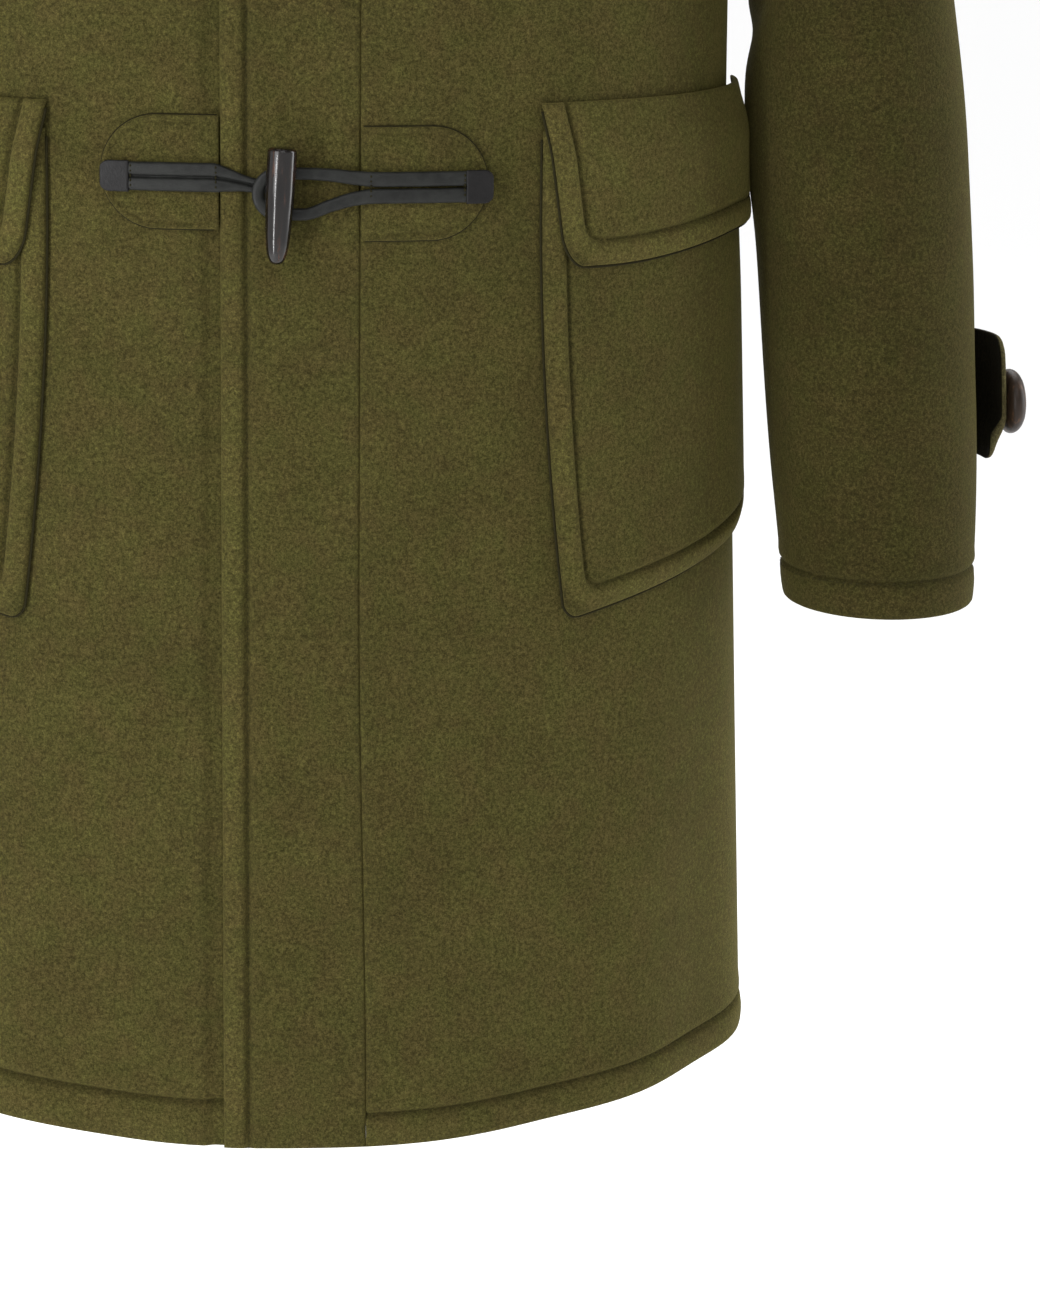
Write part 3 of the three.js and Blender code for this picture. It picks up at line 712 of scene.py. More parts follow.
def bumped(tree, height, strength, distance, normal=None):
    made = tree.nodes.new("ShaderNodeBump")
    made.inputs["Strength"].default_value = strength
    made.inputs["Distance"].default_value = distance
    tree.links.new(height, made.inputs["Height"])
    if normal is not None:
        tree.links.new(normal, made.inputs["Normal"])
    return made.outputs["Normal"]


def new_material(name):
    material = bpy.data.materials.new(name)
    material.use_nodes = True
    tree = material.node_tree
    shader = tree.nodes["Principled BSDF"]
    coordinates = tree.nodes.new("ShaderNodeTexCoord").outputs["Object"]
    return material, tree, shader, coordinates


def scaled(color, factor):
    return tuple(part * factor for part in color)


# Felted wool: short fibres of mixed shades, with broad patches that lean to brown or green
BROWN_LEAN = (1.03, 0.96, 1.0)
GREEN_LEAN = (0.98, 1.03, 0.95)

# Scale, detail and roughness of its flecks, fine fibres, patches and clouds
MELTON_NOISES = [(560, 4, 0.7), (1400, 3, 0.7), (62, 3, 0.55), (21, 3, 0.6)]


def melton(name, color, sheen=0.35):
    material, tree, shader, at = new_material(name)
    fleck, fine, patches, cloud = (noise(tree, at, *values) for values in MELTON_NOISES)
    # The mesh's painted light attribute brightens raised welts and flaps and darkens sewing lines and edges:
    # painted highlight and painted shade
    painted_light = tree.nodes.new("ShaderNodeAttribute")
    painted_light.attribute_name = "painted_light"
    painted_light_factor = tree.nodes.new("ShaderNodeMath")
    painted_light_factor.inputs[1].default_value = 1
    tree.links.new(painted_light.outputs["Fac"], painted_light_factor.inputs[0])
    shades = ramp(tree, fleck, [(0.35, scaled(color, 0.58)), (0.5, color), (0.65, scaled(color, 1.55))])
    for layer in (
        ramp(tree, fine, greys([(0.36, 0.62), (0.64, 1.38)])),
        ramp(tree, patches, [(0.36, BROWN_LEAN), (0.64, GREEN_LEAN)]),
        ramp(tree, cloud, greys([(0.3, 0.9), (0.7, 1.1)])),
        painted_light_factor.outputs[0],
    ):
        shades = multiplied(tree, shades, layer)
    tree.links.new(shades, shader.inputs["Base Color"])
    shader.inputs["Roughness"].default_value = 0.92
    shader.inputs["Specular IOR Level"].default_value = 0.06
    shader.inputs["Sheen Weight"].default_value = sheen
    shader.inputs["Sheen Roughness"].default_value = 0.55
    shader.inputs["Sheen Tint"].default_value = (*scaled(color, 6.5), 1)
    normal = bumped(tree, noise(tree, at, 260, 3, 0.6), 0.35, 0.0008)
    normal = bumped(tree, fleck, 0.55, 0.0007, normal)
    normal = bumped(tree, fine, 0.45, 0.0004, normal)
    tree.links.new(normal, shader.inputs["Normal"])
    return material


def leather(name, color, rough):
    material, tree, shader, at = new_material(name)
    grain = tree.nodes.new("ShaderNodeTexVoronoi")
    grain.inputs["Scale"].default_value = 1100
    tree.links.new(at, grain.inputs["Vector"])
    wear = noise(tree, at, 160, 4, 0.6)
    shades = ramp(tree, wear, [(0.35, scaled(color, 0.7)), (0.65, scaled(color, 1.35))])
    tree.links.new(shades, shader.inputs["Base Color"])
    shine = ramp(tree, wear, greys([(0.35, rough - 0.08), (0.65, rough + 0.1)]))
    tree.links.new(shine, shader.inputs["Roughness"])
    shader.inputs["Specular IOR Level"].default_value = 0.2
    normal = bumped(tree, grain.outputs["Distance"], 0.22, 0.0003)
    normal = bumped(tree, wear, 0.18, 0.0006, normal)
    tree.links.new(normal, shader.inputs["Normal"])
    return material


def horn(name, dark, warm, rough, specular):
    material, tree, shader, at = new_material(name)
    stretch = tree.nodes.new("ShaderNodeMapping")
    stretch.inputs["Scale"].default_value = (1, 1, 0.16)
    tree.links.new(at, stretch.inputs["Vector"])
    streaks = noise(tree, stretch.outputs["Vector"], 330, 5, 0.62)
    cloud = noise(tree, at, 60, 2, 0.5)
    shades = ramp(tree, streaks, [(0.38, dark), (0.56, scaled(dark, 1.7)), (0.74, warm)])
    shades = multiplied(tree, shades, ramp(tree, cloud, greys([(0.3, 0.55), (0.7, 1.3)])), share=0.6)
    tree.links.new(shades, shader.inputs["Base Color"])
    shader.inputs["Roughness"].default_value = rough
    shader.inputs["Specular IOR Level"].default_value = specular
    normal = bumped(tree, streaks, 0.12, 0.0004)
    tree.links.new(normal, shader.inputs["Normal"])
    return material


def plain(name, color, rough):
    material, tree, shader, at = new_material(name)
    shades = ramp(tree, noise(tree, at, 900, 2), [(0.3, scaled(color, 0.8)), (0.7, scaled(color, 1.2))])
    tree.links.new(shades, shader.inputs["Base Color"])
    shader.inputs["Roughness"].default_value = rough
    shader.inputs["Specular IOR Level"].default_value = 0.1
    return material


WOOL = melton("olive melton", (0.0401, 0.0349, 0.0102))
# The sleeves get their own darker copy of the same melton: painted shade, so they read darker than the body
SHADED_SLEEVE_WOOL = melton("sleeve melton painted shade", (0.0271, 0.0233, 0.0068))
# The cuff tabs get their own greyer, paler copy of the same melton, set to the tab's brightness in its
# shade: painted light
TAB_PAINTED_LIGHT_WOOL = melton("tab melton painted light", (0.045, 0.0393, 0.0165), sheen=0.25)
# A near black copy of the same melton for the inner faces of the cuff tabs: painted shade in the hollow
# under each tab
PAINTED_SHADE_WOOL = melton("painted shade melton", (0.008, 0.0066, 0.0028), sheen=0.1)
# Dark cords along the outlines of pockets, flaps and patches are painted shadow; the same colour is the dark
# thread of the strap tacks
SHADOW_CORD_AND_TACK_THREAD = plain("painted shadow cords and tack thread", (0.015, 0.0131, 0.0045), 0.95)
THREAD = plain("olive thread", (0.026, 0.0225, 0.0068), 0.95)
LEATHER = leather("dark leather", (0.0105, 0.0110, 0.0098), 0.5)
END_LEATHER = leather("strap end leather", (0.0055, 0.0050, 0.0050), 0.5)
HORN_DARK = horn("dark horn", (0.0045, 0.0034, 0.003), (0.06, 0.022, 0.010), 0.15, 0.42)
BUTTON_HORN = horn("brown horn", (0.016, 0.0098, 0.006), (0.12, 0.058, 0.028), 0.42, 0.2)


# The fronts, from the hem up
NECK_TURNS = np.concatenate([np.arange(0, 50, 4.0), np.arange(50, 89.6, 1.6), [89.5]])
ARMHOLE_LEVELS = ARMHOLE_MIDDLE - ARMHOLE_HALF * np.cos(np.pi * np.linspace(0, 1, 37))
SKIRT_STEP = 7.5
HEM_BLEND = 260.0
FRONT_COLUMNS = 46
BACK_COLUMNS = 96
PLACKET_COLUMNS = 12
PLACKET_STEP = 6.5
PLACKET_NECK_BLEND = -150.0


def panel_levels(stitch):
    hem = HEM_FRONT + np.array(stitched(stitch, 7))
    skirt = np.arange(hem[-1] + SKIRT_STEP, -NECK_DROP_FRONT - 2, SKIRT_STEP)
    neck = -NECK_DROP_FRONT * np.cos(np.radians(NECK_TURNS))
    return levels_from(hem, skirt[(skirt < ARMHOLE_BOTTOM - 3) | (skirt > ARMHOLE_TOP)],
                       ARMHOLE_LEVELS, neck)


def row_at(levels, stitch):
    return int(np.argmin(np.abs(levels - HEM_FRONT - stitch)))


# The level of each row over the curved hem
def over_hem(nominal, angle):
    return nominal + (hem_level(angle) - HEM_FRONT) * (1 - ease((nominal - HEM_FRONT) / HEM_BLEND))


def front_panel(name, side, first, lift, stitch, marks, sewn_from):
    levels = panel_levels(stitch)
    start = first(levels)
    neck = levels > -NECK_DROP_FRONT + 0.01
    turned = angle_at_x(np.maximum(neck_half(levels[neck], NECK_DROP_FRONT), start[neck]), levels[neck])
    start[neck] = arc_at(turned, levels[neck])
    end = arc_at(armhole_side(levels, -ARMHOLE_FRONT_DEGREES), levels)
    arcs = side * across(start, end, EDGE + marks, FRONT_COLUMNS, PLAIN_EDGE)
    angle = angle_at(arcs, levels[:, None])
    z = over_hem(levels[:, None], angle)
    x = body_ring(angle, z)[..., 0]
    bottom = z - hem_level(angle)
    rim = np.minimum(np.minimum(side * arcs - start[:, None], end[:, None] - side * arcs), bottom)
    to_seam = end[:, None] - side * arcs
    relief = lift(x) + body_folds(arcs, z) + sewn(bottom, stitch, deep=2.3) * ease(to_seam / SEAM_FADE)
    outer, inner = walls(body_ring(angle, z), body_normal(angle, z), relief, rim)
    made = shell(name, outer, inner, WOOL, painted_light=painted_light_and_shade(bottom, stitch, PLAIN_PAINTED_LIGHT))
    shown = np.arange(sewn_from, outer.shape[1])
    sew(name + "_sewing", outer, [(row_at(levels, stitch), shown)], THREAD)
    return made


left_front = front_panel(
    "left_front", 1, lambda z: placket_end(z) - SEAM_PRESS, left_lift, HEM_STITCH["left"], [7, 14], 0
)
right_front = front_panel(
    "right_front", -1, lambda z: np.full(len(z), -LAP_EDGE), right_lift, HEM_STITCH["right"],
    [10, 25, 45, 60, 70, 73, 75, 77, 79, 81, 83, 88], 12,
)


def placket():
    top = -NECK_DROP_FRONT - 1
    even_levels = np.arange(HEM_FRONT + 9, top - 6, PLACKET_STEP)
    levels = levels_from(HEM_FRONT + np.array(EDGE), even_levels, top - np.array(EDGE)[::-1])
    near = stitched(PLACKET_STITCH)
    first, last = np.full(len(levels), -PLACKET_HALF), placket_end(levels)
    arcs = across(first, last, near, PLACKET_COLUMNS, PLAIN_EDGE)
    angle = angle_at(arcs, levels[:, None])
    z = over_hem(levels[:, None], angle)
    x = body_ring(angle, z)[..., 0]
    neckline = -NECK_DROP_FRONT * np.sqrt(1 - (x / NECK_HALF) ** 2) - 1
    z = z + (neckline - top) * ease((z - PLACKET_NECK_BLEND) / (top - PLACKET_NECK_BLEND))
    sides = np.minimum(arcs - first[:, None], last[:, None] - arcs)
    rim = np.minimum(sides, np.minimum(z - hem_level(angle), neckline - z))
    welt = sewn(arcs + PLACKET_HALF, PLACKET_STITCH) * (0.3 + 0.7 * ease((z - hem_level(angle)) / 14))
    relief = PLACKET_LIFT + body_folds(arcs, z) + welt
    surface, normal = body_ring(angle, z), body_normal(angle, z)
    outer = walls(surface, normal, relief, rim)[0]
    inner = walls(surface, normal, PLACKET_LIFT, rim)[1]
    made = shell("placket", outer, inner, WOOL, painted_light=painted_light_and_shade(arcs + PLACKET_HALF, PLACKET_STITCH))
    sew("placket_sewing", outer, [(np.arange(len(levels)), near.index(PLACKET_STITCH))], THREAD)


placket()


def back():
    stitch = HEM_STITCH["back"]
    hem = HEM_FRONT + np.array(stitched(stitch, 7))
    skirt = np.arange(hem[-1] + SKIRT_STEP, ARMHOLE_BOTTOM - 3, SKIRT_STEP)
    shoulder = np.linspace(ARMHOLE_TOP, SHOULDER_BREAK, 8)[1:]
    above = SHOULDER_BREAK * (1 - np.linspace(0, 1, 16)[1:])
    levels = levels_from(hem, skirt, ARMHOLE_LEVELS, shoulder, above)
    start = arc_at(armhole_side(levels, ARMHOLE_BACK_DEGREES), levels)
    end = 2 * arc_at(np.full(len(levels), math.pi), levels) - start
    arcs = across(start, end, PLAIN_EDGE, BACK_COLUMNS)
    round_arc = np.minimum(arcs, 2 * arc_at(np.full(arcs.shape, math.pi), levels[:, None] + 0 * arcs) - arcs)
    half = angle_at(round_arc, levels[:, None])
    behind = arcs > round_arc + 1e-6
    angle = np.where(behind, 2 * math.pi - half, half)
    z = over_hem(levels[:, None], angle)
    t = 1 - np.clip(levels[:, None] / SHOULDER_BREAK, 0, 1)
    neckline = back_neck_level(half)
    z = np.where(levels[:, None] > SHOULDER_BREAK, SHOULDER_BREAK + (neckline - SHOULDER_BREAK) * t, z)
    bottom = z - hem_level(angle)
    sides = np.minimum(arcs - start[:, None], end[:, None] - arcs)
    rim = np.minimum(np.minimum(sides, bottom), np.maximum(neckline - z, 0))
    signed = np.where(behind, -round_arc, round_arc)
    relief = body_folds(signed, z) + sewn(bottom, stitch, deep=2.3) * ease(sides / SEAM_FADE)
    outer, inner = walls(body_ring(angle, z), body_normal(angle, z), relief, rim)
    made = shell("back", outer, inner, WOOL, painted_light=painted_light_and_shade(bottom, stitch, PLAIN_PAINTED_LIGHT))
    sew("back_sewing", outer, [(row_at(levels, stitch), np.arange(outer.shape[1]))], THREAD)


back()


# Where a piece sewn round a hole of the body starts
def seam_start(edge_at, end, turn):
    point_at = lambda t: body_ring(*edge_at(np.clip(t, 0, end)))
    out = body_normal(*edge_at(turn))
    along = point_at(turn + 0.01) - point_at(turn - 0.01)
    inward = crossed(out, along)
    return point_at(turn) - out * SEAM_SINK - inward * SEAM_LAP


def armhole_edge(turn):
    z = ARMHOLE_MIDDLE + ARMHOLE_HALF * np.cos(turn)
    degrees = np.where(np.sin(turn) > 0, -ARMHOLE_FRONT_DEGREES, ARMHOLE_BACK_DEGREES)
    return seam_angle(z) + np.radians(degrees) * np.abs(np.sin(turn)), z


def sleeve_ring(turn, s):
    at = lambda field: column(SLEEVE, "s", field, s)
    along = (1 + np.cos(turn)) / 2
    return point(
        at("innerX") + (at("outerX") - at("innerX")) * along,
        at("middleY") - at("depth") * np.sin(turn),
        at("innerZ") + (at("outerZ") - at("innerZ")) * along,
    )


def sleeve_surface(turn, s):
    start = seam_start(armhole_edge, 2 * math.pi, turn) - sleeve_ring(turn, np.zeros_like(s))
    return sleeve_ring(turn, s) + start * (1 - ease(s / 4))[..., None]


def sleeve_normal(turn, s):
    step = 0.02
    around = sleeve_surface(turn + step, s) - sleeve_surface(turn - step, s)
    along = sleeve_surface(turn, s + step) - sleeve_surface(turn, np.maximum(s - step, 0))
    return crossed(around, along)


CUFF = SLEEVE["s"][-1]
CUFF_ROW = 41.0
SLEEVE_COLUMNS = 96
SLEEVE_HEAD_ROWS = [0, 0.01, 0.03, 0.07, 0.14]
SLEEVE_ROW_STEP = 0.105


def sleeve(name, side):
    near = np.array(stitched(CUFF_STITCH))
    cuff_rows = (CUFF - near / CUFF_ROW)[::-1]
    even_rows = np.arange(0.24, cuff_rows[0] - 0.05, SLEEVE_ROW_STEP)
    rows = np.concatenate([SLEEVE_HEAD_ROWS, even_rows, cuff_rows])
    turns = np.arange(SLEEVE_COLUMNS) * 2 * math.pi / SLEEVE_COLUMNS
    turn, s = np.meshgrid(turns, rows)
    surface = sleeve_surface(turn, s)
    from_seam = lengths_along(surface, 0)
    from_cuff = from_seam[-1] - from_seam
    middle = np.array([0, 0, ARMHOLE_MIDDLE])
    away = unit((surface[0] - middle) * np.array([0, 1, 1]))[None]
    normal = unit(mixed(away + 0 * surface, sleeve_normal(turn, s), ease(s / 0.5)))
    folds = surface_folds(SLEEVE_FOLDS, np.degrees(turn), s)
    folds = folds * ease(from_seam / HEAD_FADE) * ease(from_cuff / LONG_FADE)
    relief = folds + sewn(from_cuff, CUFF_STITCH, deep=1.5, puff=0.7)
    rim = np.minimum(from_seam, from_cuff)
    outer, inner = walls(surface, normal, relief, rim)
    painted_light = painted_light_and_shade(from_cuff, CUFF_STITCH, PLAIN_PAINTED_LIGHT)
    made = shell(name, outer, inner, SHADED_SLEEVE_WOOL, side, wraps=True, painted_light=painted_light)
    row = len(rows) - 1 - stitched(CUFF_STITCH).index(CUFF_STITCH)
    sew(name + "_sewing", outer, [(row, np.arange(SLEEVE_COLUMNS))], THREAD, side)


sleeve("left_sleeve", 1)
sleeve("right_sleeve", -1)


def neck_edge(turn):
    front_z = -NECK_DROP_FRONT * np.cos(np.minimum(turn, math.pi / 2))
    front_angle = angle_at_x(NECK_HALF * np.sin(turn), front_z)
    behind = np.maximum(turn, math.pi / 2)
    ahead = turn <= math.pi / 2
    return np.where(ahead, front_angle, turn), np.where(ahead, front_z, back_neck_level(behind))


def hood_ring(turn, s):
    at = lambda field: column(HOOD, "s", field, s)
    start = seam_start(neck_edge, math.pi, turn)
    sideways = np.maximum(start[..., 0], 0) / NECK_HALF
    plan = np.arctan2(sideways, (NECK_MIDDLE_Y - start[..., 1]) / NECK_HALF_DEPTH)
    spread = np.maximum(0, 1 - plan / np.radians(FACE_SPREAD_DEGREES)) ** 2
    turned = plan + np.radians(at("face")) * spread
    behind = (1 - np.cos(turned)) / 2
    rise = at("rise") * np.sin(turned) ** 2
    return start, point(
        at("half") * np.sin(turned),
        at("frontY") + (at("backY") - at("frontY")) * behind,
        at("frontZ") + (at("backZ") - at("frontZ")) * behind + rise,
    )


def hood_surface(turn, s):
    start, ring = hood_ring(turn, np.maximum(s, 1))
    return mixed(start, ring, np.minimum(s, 1))


# Places round the hood, in degrees, and rows up it, closer beside its seams
CROWN = HOOD["s"][-1]
DEGREES_FROM_FACE = 1.0
HOOD_SIDE_TURNS = np.arange(28, 176.5, 3.0)
HOOD_BACK_TURNS = [177.4, 178.6, 179.3, 179.75, 180]
HOOD_NECK_ROWS = [0, 0.015, 0.04, 0.09]
HOOD_CROWN_ROWS = [6.75, 6.85, 6.93, 6.975, 7]


def hood(name, side):
    near = np.array(stitched(FACE_STITCH))
    turns = np.radians(np.concatenate([near * DEGREES_FROM_FACE, HOOD_SIDE_TURNS, HOOD_BACK_TURNS]))
    rows = np.concatenate([HOOD_NECK_ROWS, np.arange(0.16, 6.7, 0.1), HOOD_CROWN_ROWS])
    turn, s = np.meshgrid(turns, rows)
    surface = hood_surface(turn, s)
    step = 0.03
    level = np.minimum(s, CROWN - step)
    onward, before = np.minimum(turn + step, math.pi), np.maximum(turn - step, 0)
    around = hood_surface(onward, level) - hood_surface(before, level)
    upward = hood_surface(turn, np.minimum(s + step, CROWN)) - hood_surface(turn, np.maximum(s - step, 0))
    normal = crossed(around, upward)
    away = unit(surface[:1] * np.array([1, 1, 0]))
    normal = unit(mixed(away + 0 * surface, normal, ease(s / 0.5)))
    from_face = lengths_along(surface, 1)
    from_back = from_face[:, -1:] - from_face
    from_neck = lengths_along(surface, 0)
    from_top = from_neck[-1] - from_neck
    rim = np.minimum(np.minimum(from_face, from_back), np.minimum(from_neck, from_top))
    folds = surface_folds(HOOD_FOLDS, np.degrees(turn), s)
    folds = folds * ease(from_neck / NEAR_FADE) * ease(from_top / LONG_FADE)
    folds = folds * ease(from_back / NEAR_FADE) * ease(from_face / NEAR_FADE)
    fade = ease(from_neck / 50) * ease(from_top / 20)
    relief = folds + sewn(from_face, FACE_STITCH) * fade
    outer, inner = walls(surface, normal, relief, rim)
    press = SEAM_PRESS * np.exp(-np.minimum(from_back, from_top) / 10)
    for points in (outer, inner):
        points[..., 0] = np.maximum(points[..., 0], 0) - press
    made = shell(name, outer, inner, WOOL, side, painted_light=painted_light_and_shade(from_face, FACE_STITCH, PLAIN_PAINTED_LIGHT) * fade)
    face = stitched(FACE_STITCH).index(FACE_STITCH)
    sew(name + "_sewing", outer, [(np.arange(8, len(rows) - 4), face)], THREAD, side)


hood("hood_left", 1)
hood("hood_right", -1)


# How far a side moves in over a rounded corner of a given width and height, and the distance from an
# outline with round corners
def rounded_in(wide, tall, above):
    d = np.clip(1 - above / tall, 0, 1)
    return wide * (1 - np.sqrt(1 - d**2))


def rim_of(dx, dy, radius):
    corner = (dx < radius) & (dy < radius)
    return np.where(corner, radius - np.hypot(radius - dx, radius - dy), np.minimum(dx, dy))


# Where the front and bottom edges of a pocket and a flap run, and how far each stands off the panel
def pocket_front(z):
    return POCKET_FRONT + POCKET_LEAN * np.maximum(0, (POCKET_LEAN_START - z) / POCKET_LEAN_LENGTH) ** 2


def pocket_bottom(arc):
    return POCKET_BOTTOM + POCKET_BOTTOM_SLOPE * np.maximum(0, arc - POCKET_BOTTOM_START)


def pocket_inside(z, rim, _):
    return POCKET_FLOAT + POCKET_SWELL * ease(rim / 13) * ease((POCKET_TOP - z) / 30)


def flap_front(z):
    return FLAP_FRONT + FLAP_LEAN * (FLAP_TOP - z) / FLAP_LENGTH


def flap_bottom(arc):
    return FLAP_BOTTOM + FLAP_BOTTOM_RISE * ease((arc - FLAP_BOTTOM_START) / FLAP_BOTTOM_REACH)


def flap_inside(z, _, place):
    stand = POCKET_FLOAT + FLAP_STAND * ease((FLAP_TOP + 3 - z) / 32)
    return stand + FLAP_SIDE_STAND * ease((place - 110) / 45)


# The rest of what they differ in: the corner is its width and height, and light is how much painted light
# the whole piece gets
POCKET = {
    "top": POCKET_TOP,
    "width": 188.0,
    "corner": (7.0, 7.0),
    "front": pocket_front,
    "bottom": pocket_bottom,
    "inside": pocket_inside,
    "flat": (0.195, 0.25),
    "rows": 34,
    "light": 0.0,
}
FLAP = {
    "top": FLAP_TOP,
    "width": 182.0,
    "corner": (10.0, 17.0),
    "front": flap_front,
    "bottom": flap_bottom,
    "inside": flap_inside,
    "flat": (0.19, 0.085),
    "rows": 14,
    "light": 0.13,
}

# The dark cord of painted shadow laid beside their outline, and the places across them where their sewing
# turns round the side and is shallower
PANEL_EDGE_DROP = 0.5
PANEL_EDGE_RADIUS = 0.75
TURNING_PLACE = 115.0
TURNING_REACH = 45.0
TURNING_LOSS = 0.75


def sewn_on(name, side, shape):
    width = shape["width"]
    near = stitched(EDGE_STITCH)
    places = across(0.0, width, near, 22)
    low = shape["bottom"](shape["front"](shape["bottom"](0.0)) + places)
    above = np.array(near)
    body = shape["top"] - low - above[-1]
    steps = np.linspace(0, 1, shape["rows"])[1:]
    tops = np.array(EDGE)
    z = np.concatenate([
        low + above[:, None],
        low + above[-1] + (body - tops[-1]) * steps[:, None],
        shape["top"] - tops[:-1][::-1, None] + 0 * low,
    ])
    dy = z - low
    inset = rounded_in(*shape["corner"], dy)
    arcs = shape["front"](z) + inset + places / width * (width - 2 * inset)
    dx = np.minimum(arcs - shape["front"](z), shape["front"](z) + width - arcs)
    edge = np.minimum(np.minimum(dx - inset, dy), shape["top"] - z)
    rim = rim_of(dx, dy, EDGE_STITCH + CORNER_ROUND)
    turning = 1 - TURNING_LOSS * ease((places - TURNING_PLACE) / TURNING_REACH)
    base = shape["inside"](z, np.maximum(rim, 0), places) + left_lift(arcs) + body_folds(side * arcs, z)
    relief = sewn(rim, EDGE_STITCH, deep=2.1, puff=1.5) * turning
    outer = cloth_point(arcs, z, base + CLOTH + relief - rolled(edge))
    inner = cloth_point(arcs, z, base + rolled_inside(edge))
    made = shell(name, outer, inner, WOOL, side, painted_light=shape["light"] + painted_light_and_shade(rim, EDGE_STITCH))
    line = near.index(EDGE_STITCH)
    clear = len(near) - 1
    last_row, last_col = outer.shape[0] - 5, outer.shape[1] - 1 - line
    paths = [
        (np.arange(last_row, clear - 1, -1), line),
        (line, np.arange(clear, last_col - clear + line + 1)),
        (np.arange(clear, last_row + 1), last_col),
    ]
    sew(name + "_sewing", outer, paths, THREAD, side)
    # A dark cord of painted shadow runs along the outline's left side, bottom and right side, sunk under the
    # inner face
    outline = [
        (np.arange(last_row, -1, -1), 0),
        (0, np.arange(1, outer.shape[1])),
        (np.arange(1, last_row), outer.shape[1] - 1),
    ]
    line, out = (np.concatenate(parts) for parts in zip(*grid_lines(inner, outline)))
    cord(name + "_painted_edge_shadow", line - out * PANEL_EDGE_DROP, out, PANEL_EDGE_RADIUS, SHADOW_CORD_AND_TACK_THREAD, side)


for word, side in (("left", 1), ("right", -1)):
    sewn_on(word + "_pocket", side, POCKET)
    sewn_on(word + "_flap", side, FLAP)


# The cloth patches behind the fastenings: a straight part and a half round end
PATCH_GAP = 0.4
PATCH_ROUND = PATCH_END - PATCH_HALF
PATCH_TURNS = np.radians([0, 8, 16, 24, 32, 40, 46, 52, 58, 62, 66, 70, 74, 78, 82, 85, 87])
PATCH_ROWS = np.array([0, 0.22, 0.7, 1.5, 2.3, 2.9, 3.4, 3.9, 4.5, 5.4])
PATCH_SEWING = 3.4


def patch_base(side, arcs, z):
    lift = left_lift(np.abs(arcs)) if side > 0 else 0 * arcs
    return PATCH_FLOAT + lift + body_folds(arcs, z)


def patch(name, side, middle):
    inner_end = PLACKET_HALF + PATCH_GAP if side < 0 else PLACKET_HALF - PLACKET_TAPER + PATCH_GAP
    places = np.concatenate([
        inner_end + np.array([0, 0.25, 0.8]),
        np.linspace(inner_end + 2, PATCH_ROUND, 9)[:-1],
        PATCH_ROUND + PATCH_HALF * np.sin(PATCH_TURNS),
    ])
    past = np.clip((places - PATCH_ROUND) / PATCH_HALF, 0, 1)
    halves = np.where(places > PATCH_ROUND, PATCH_HALF * np.cos(np.arcsin(past)), PATCH_HALF)
    up = across(-1.0, 1.0, PATCH_ROWS / PATCH_HALF, 16)
    arcs = places[:, None] + 0 * up
    rise = halves[:, None] * up
    from_end = PATCH_HALF - np.hypot(np.maximum(arcs - PATCH_ROUND, 0), rise)
    rim = np.minimum(np.where(arcs > PATCH_ROUND, from_end, PATCH_HALF - np.abs(rise)), arcs - inner_end)
    base = patch_base(side, side * arcs, middle + rise)
    fall = rolled(rim, PATCH_CLOTH / 2)
    dent = 0.9 * np.exp(-((rim - PATCH_SEWING) / 0.8) ** 2)
    outer = cloth_point(side * arcs, middle + rise, base + PATCH_CLOTH - fall - dent)
    inner = cloth_point(side * arcs, middle + rise, base + fall)
    made = shell(name, outer, inner, WOOL)
    # A dark cord of painted shadow runs round the patch's outline
    turn = np.radians(np.linspace(90, -90, 31))
    straight = np.linspace(inner_end, PATCH_ROUND, 8)[:-1]
    straight_back = np.linspace(PATCH_ROUND, inner_end, 8)[1:]
    edge_arc = side * np.concatenate([straight, PATCH_ROUND + PATCH_HALF * np.cos(turn), straight_back])
    edge_z = middle + PATCH_HALF * np.concatenate([np.ones(7), np.sin(turn), -np.ones(7)])
    line = cloth_point(edge_arc, edge_z, patch_base(side, edge_arc, edge_z) + 0.3)
    cord(name + "_painted_edge_shadow", line, body_normal(angle_at(edge_arc, edge_z), edge_z), 0.65, SHADOW_CORD_AND_TACK_THREAD)


# A leather strap swept along places, levels, widths, headings and distances out. Where it is grooved it is
# two strands side by side.
STRAP_HALF_PROFILE = [0, 0.05, 0.1, 0.2, 0.45, 0.7, 0.84, 0.93, 0.985, 1]
STRAP_PROFILE = np.array([-w for w in STRAP_HALF_PROFILE[:0:-1]] + STRAP_HALF_PROFILE)


def strap(name, path, groove):
    half = path["wide"][:, None] / 2
    w = half * STRAP_PROFILE
    fall = rolled(half - np.abs(w), STRAP_THICK / 2)
    crease = groove[:, None] * np.exp(-((w / 0.7) ** 2))
    strands = np.minimum(1, groove[:, None])
    two_round = 0.5 * (1 - (2 * np.abs(STRAP_PROFILE) - 1) ** 2)
    one_round = 0.45 * (1 - STRAP_PROFILE**2)
    crown = two_round * strands + one_round * (1 - strands)
    arcs = path["across"][:, None] - w * np.sin(path["heading"])[:, None]
    levels = path["z"][:, None] + w * np.cos(path["heading"])[:, None]
    out = path["out"][:, None]
    outer = cloth_point(arcs, levels, out + STRAP_THICK - fall - crease + crown)
    inner = cloth_point(arcs, levels, out + fall)
    outer[[0, -1]] = inner[[0, -1]] = (outer[[0, -1]] + inner[[0, -1]]) / 2
    shell(name, outer, inner, LEATHER)


# A row of stitches that holds a strap down across its width
TACK_POINTS = 9
TACK_INSET = 0.8


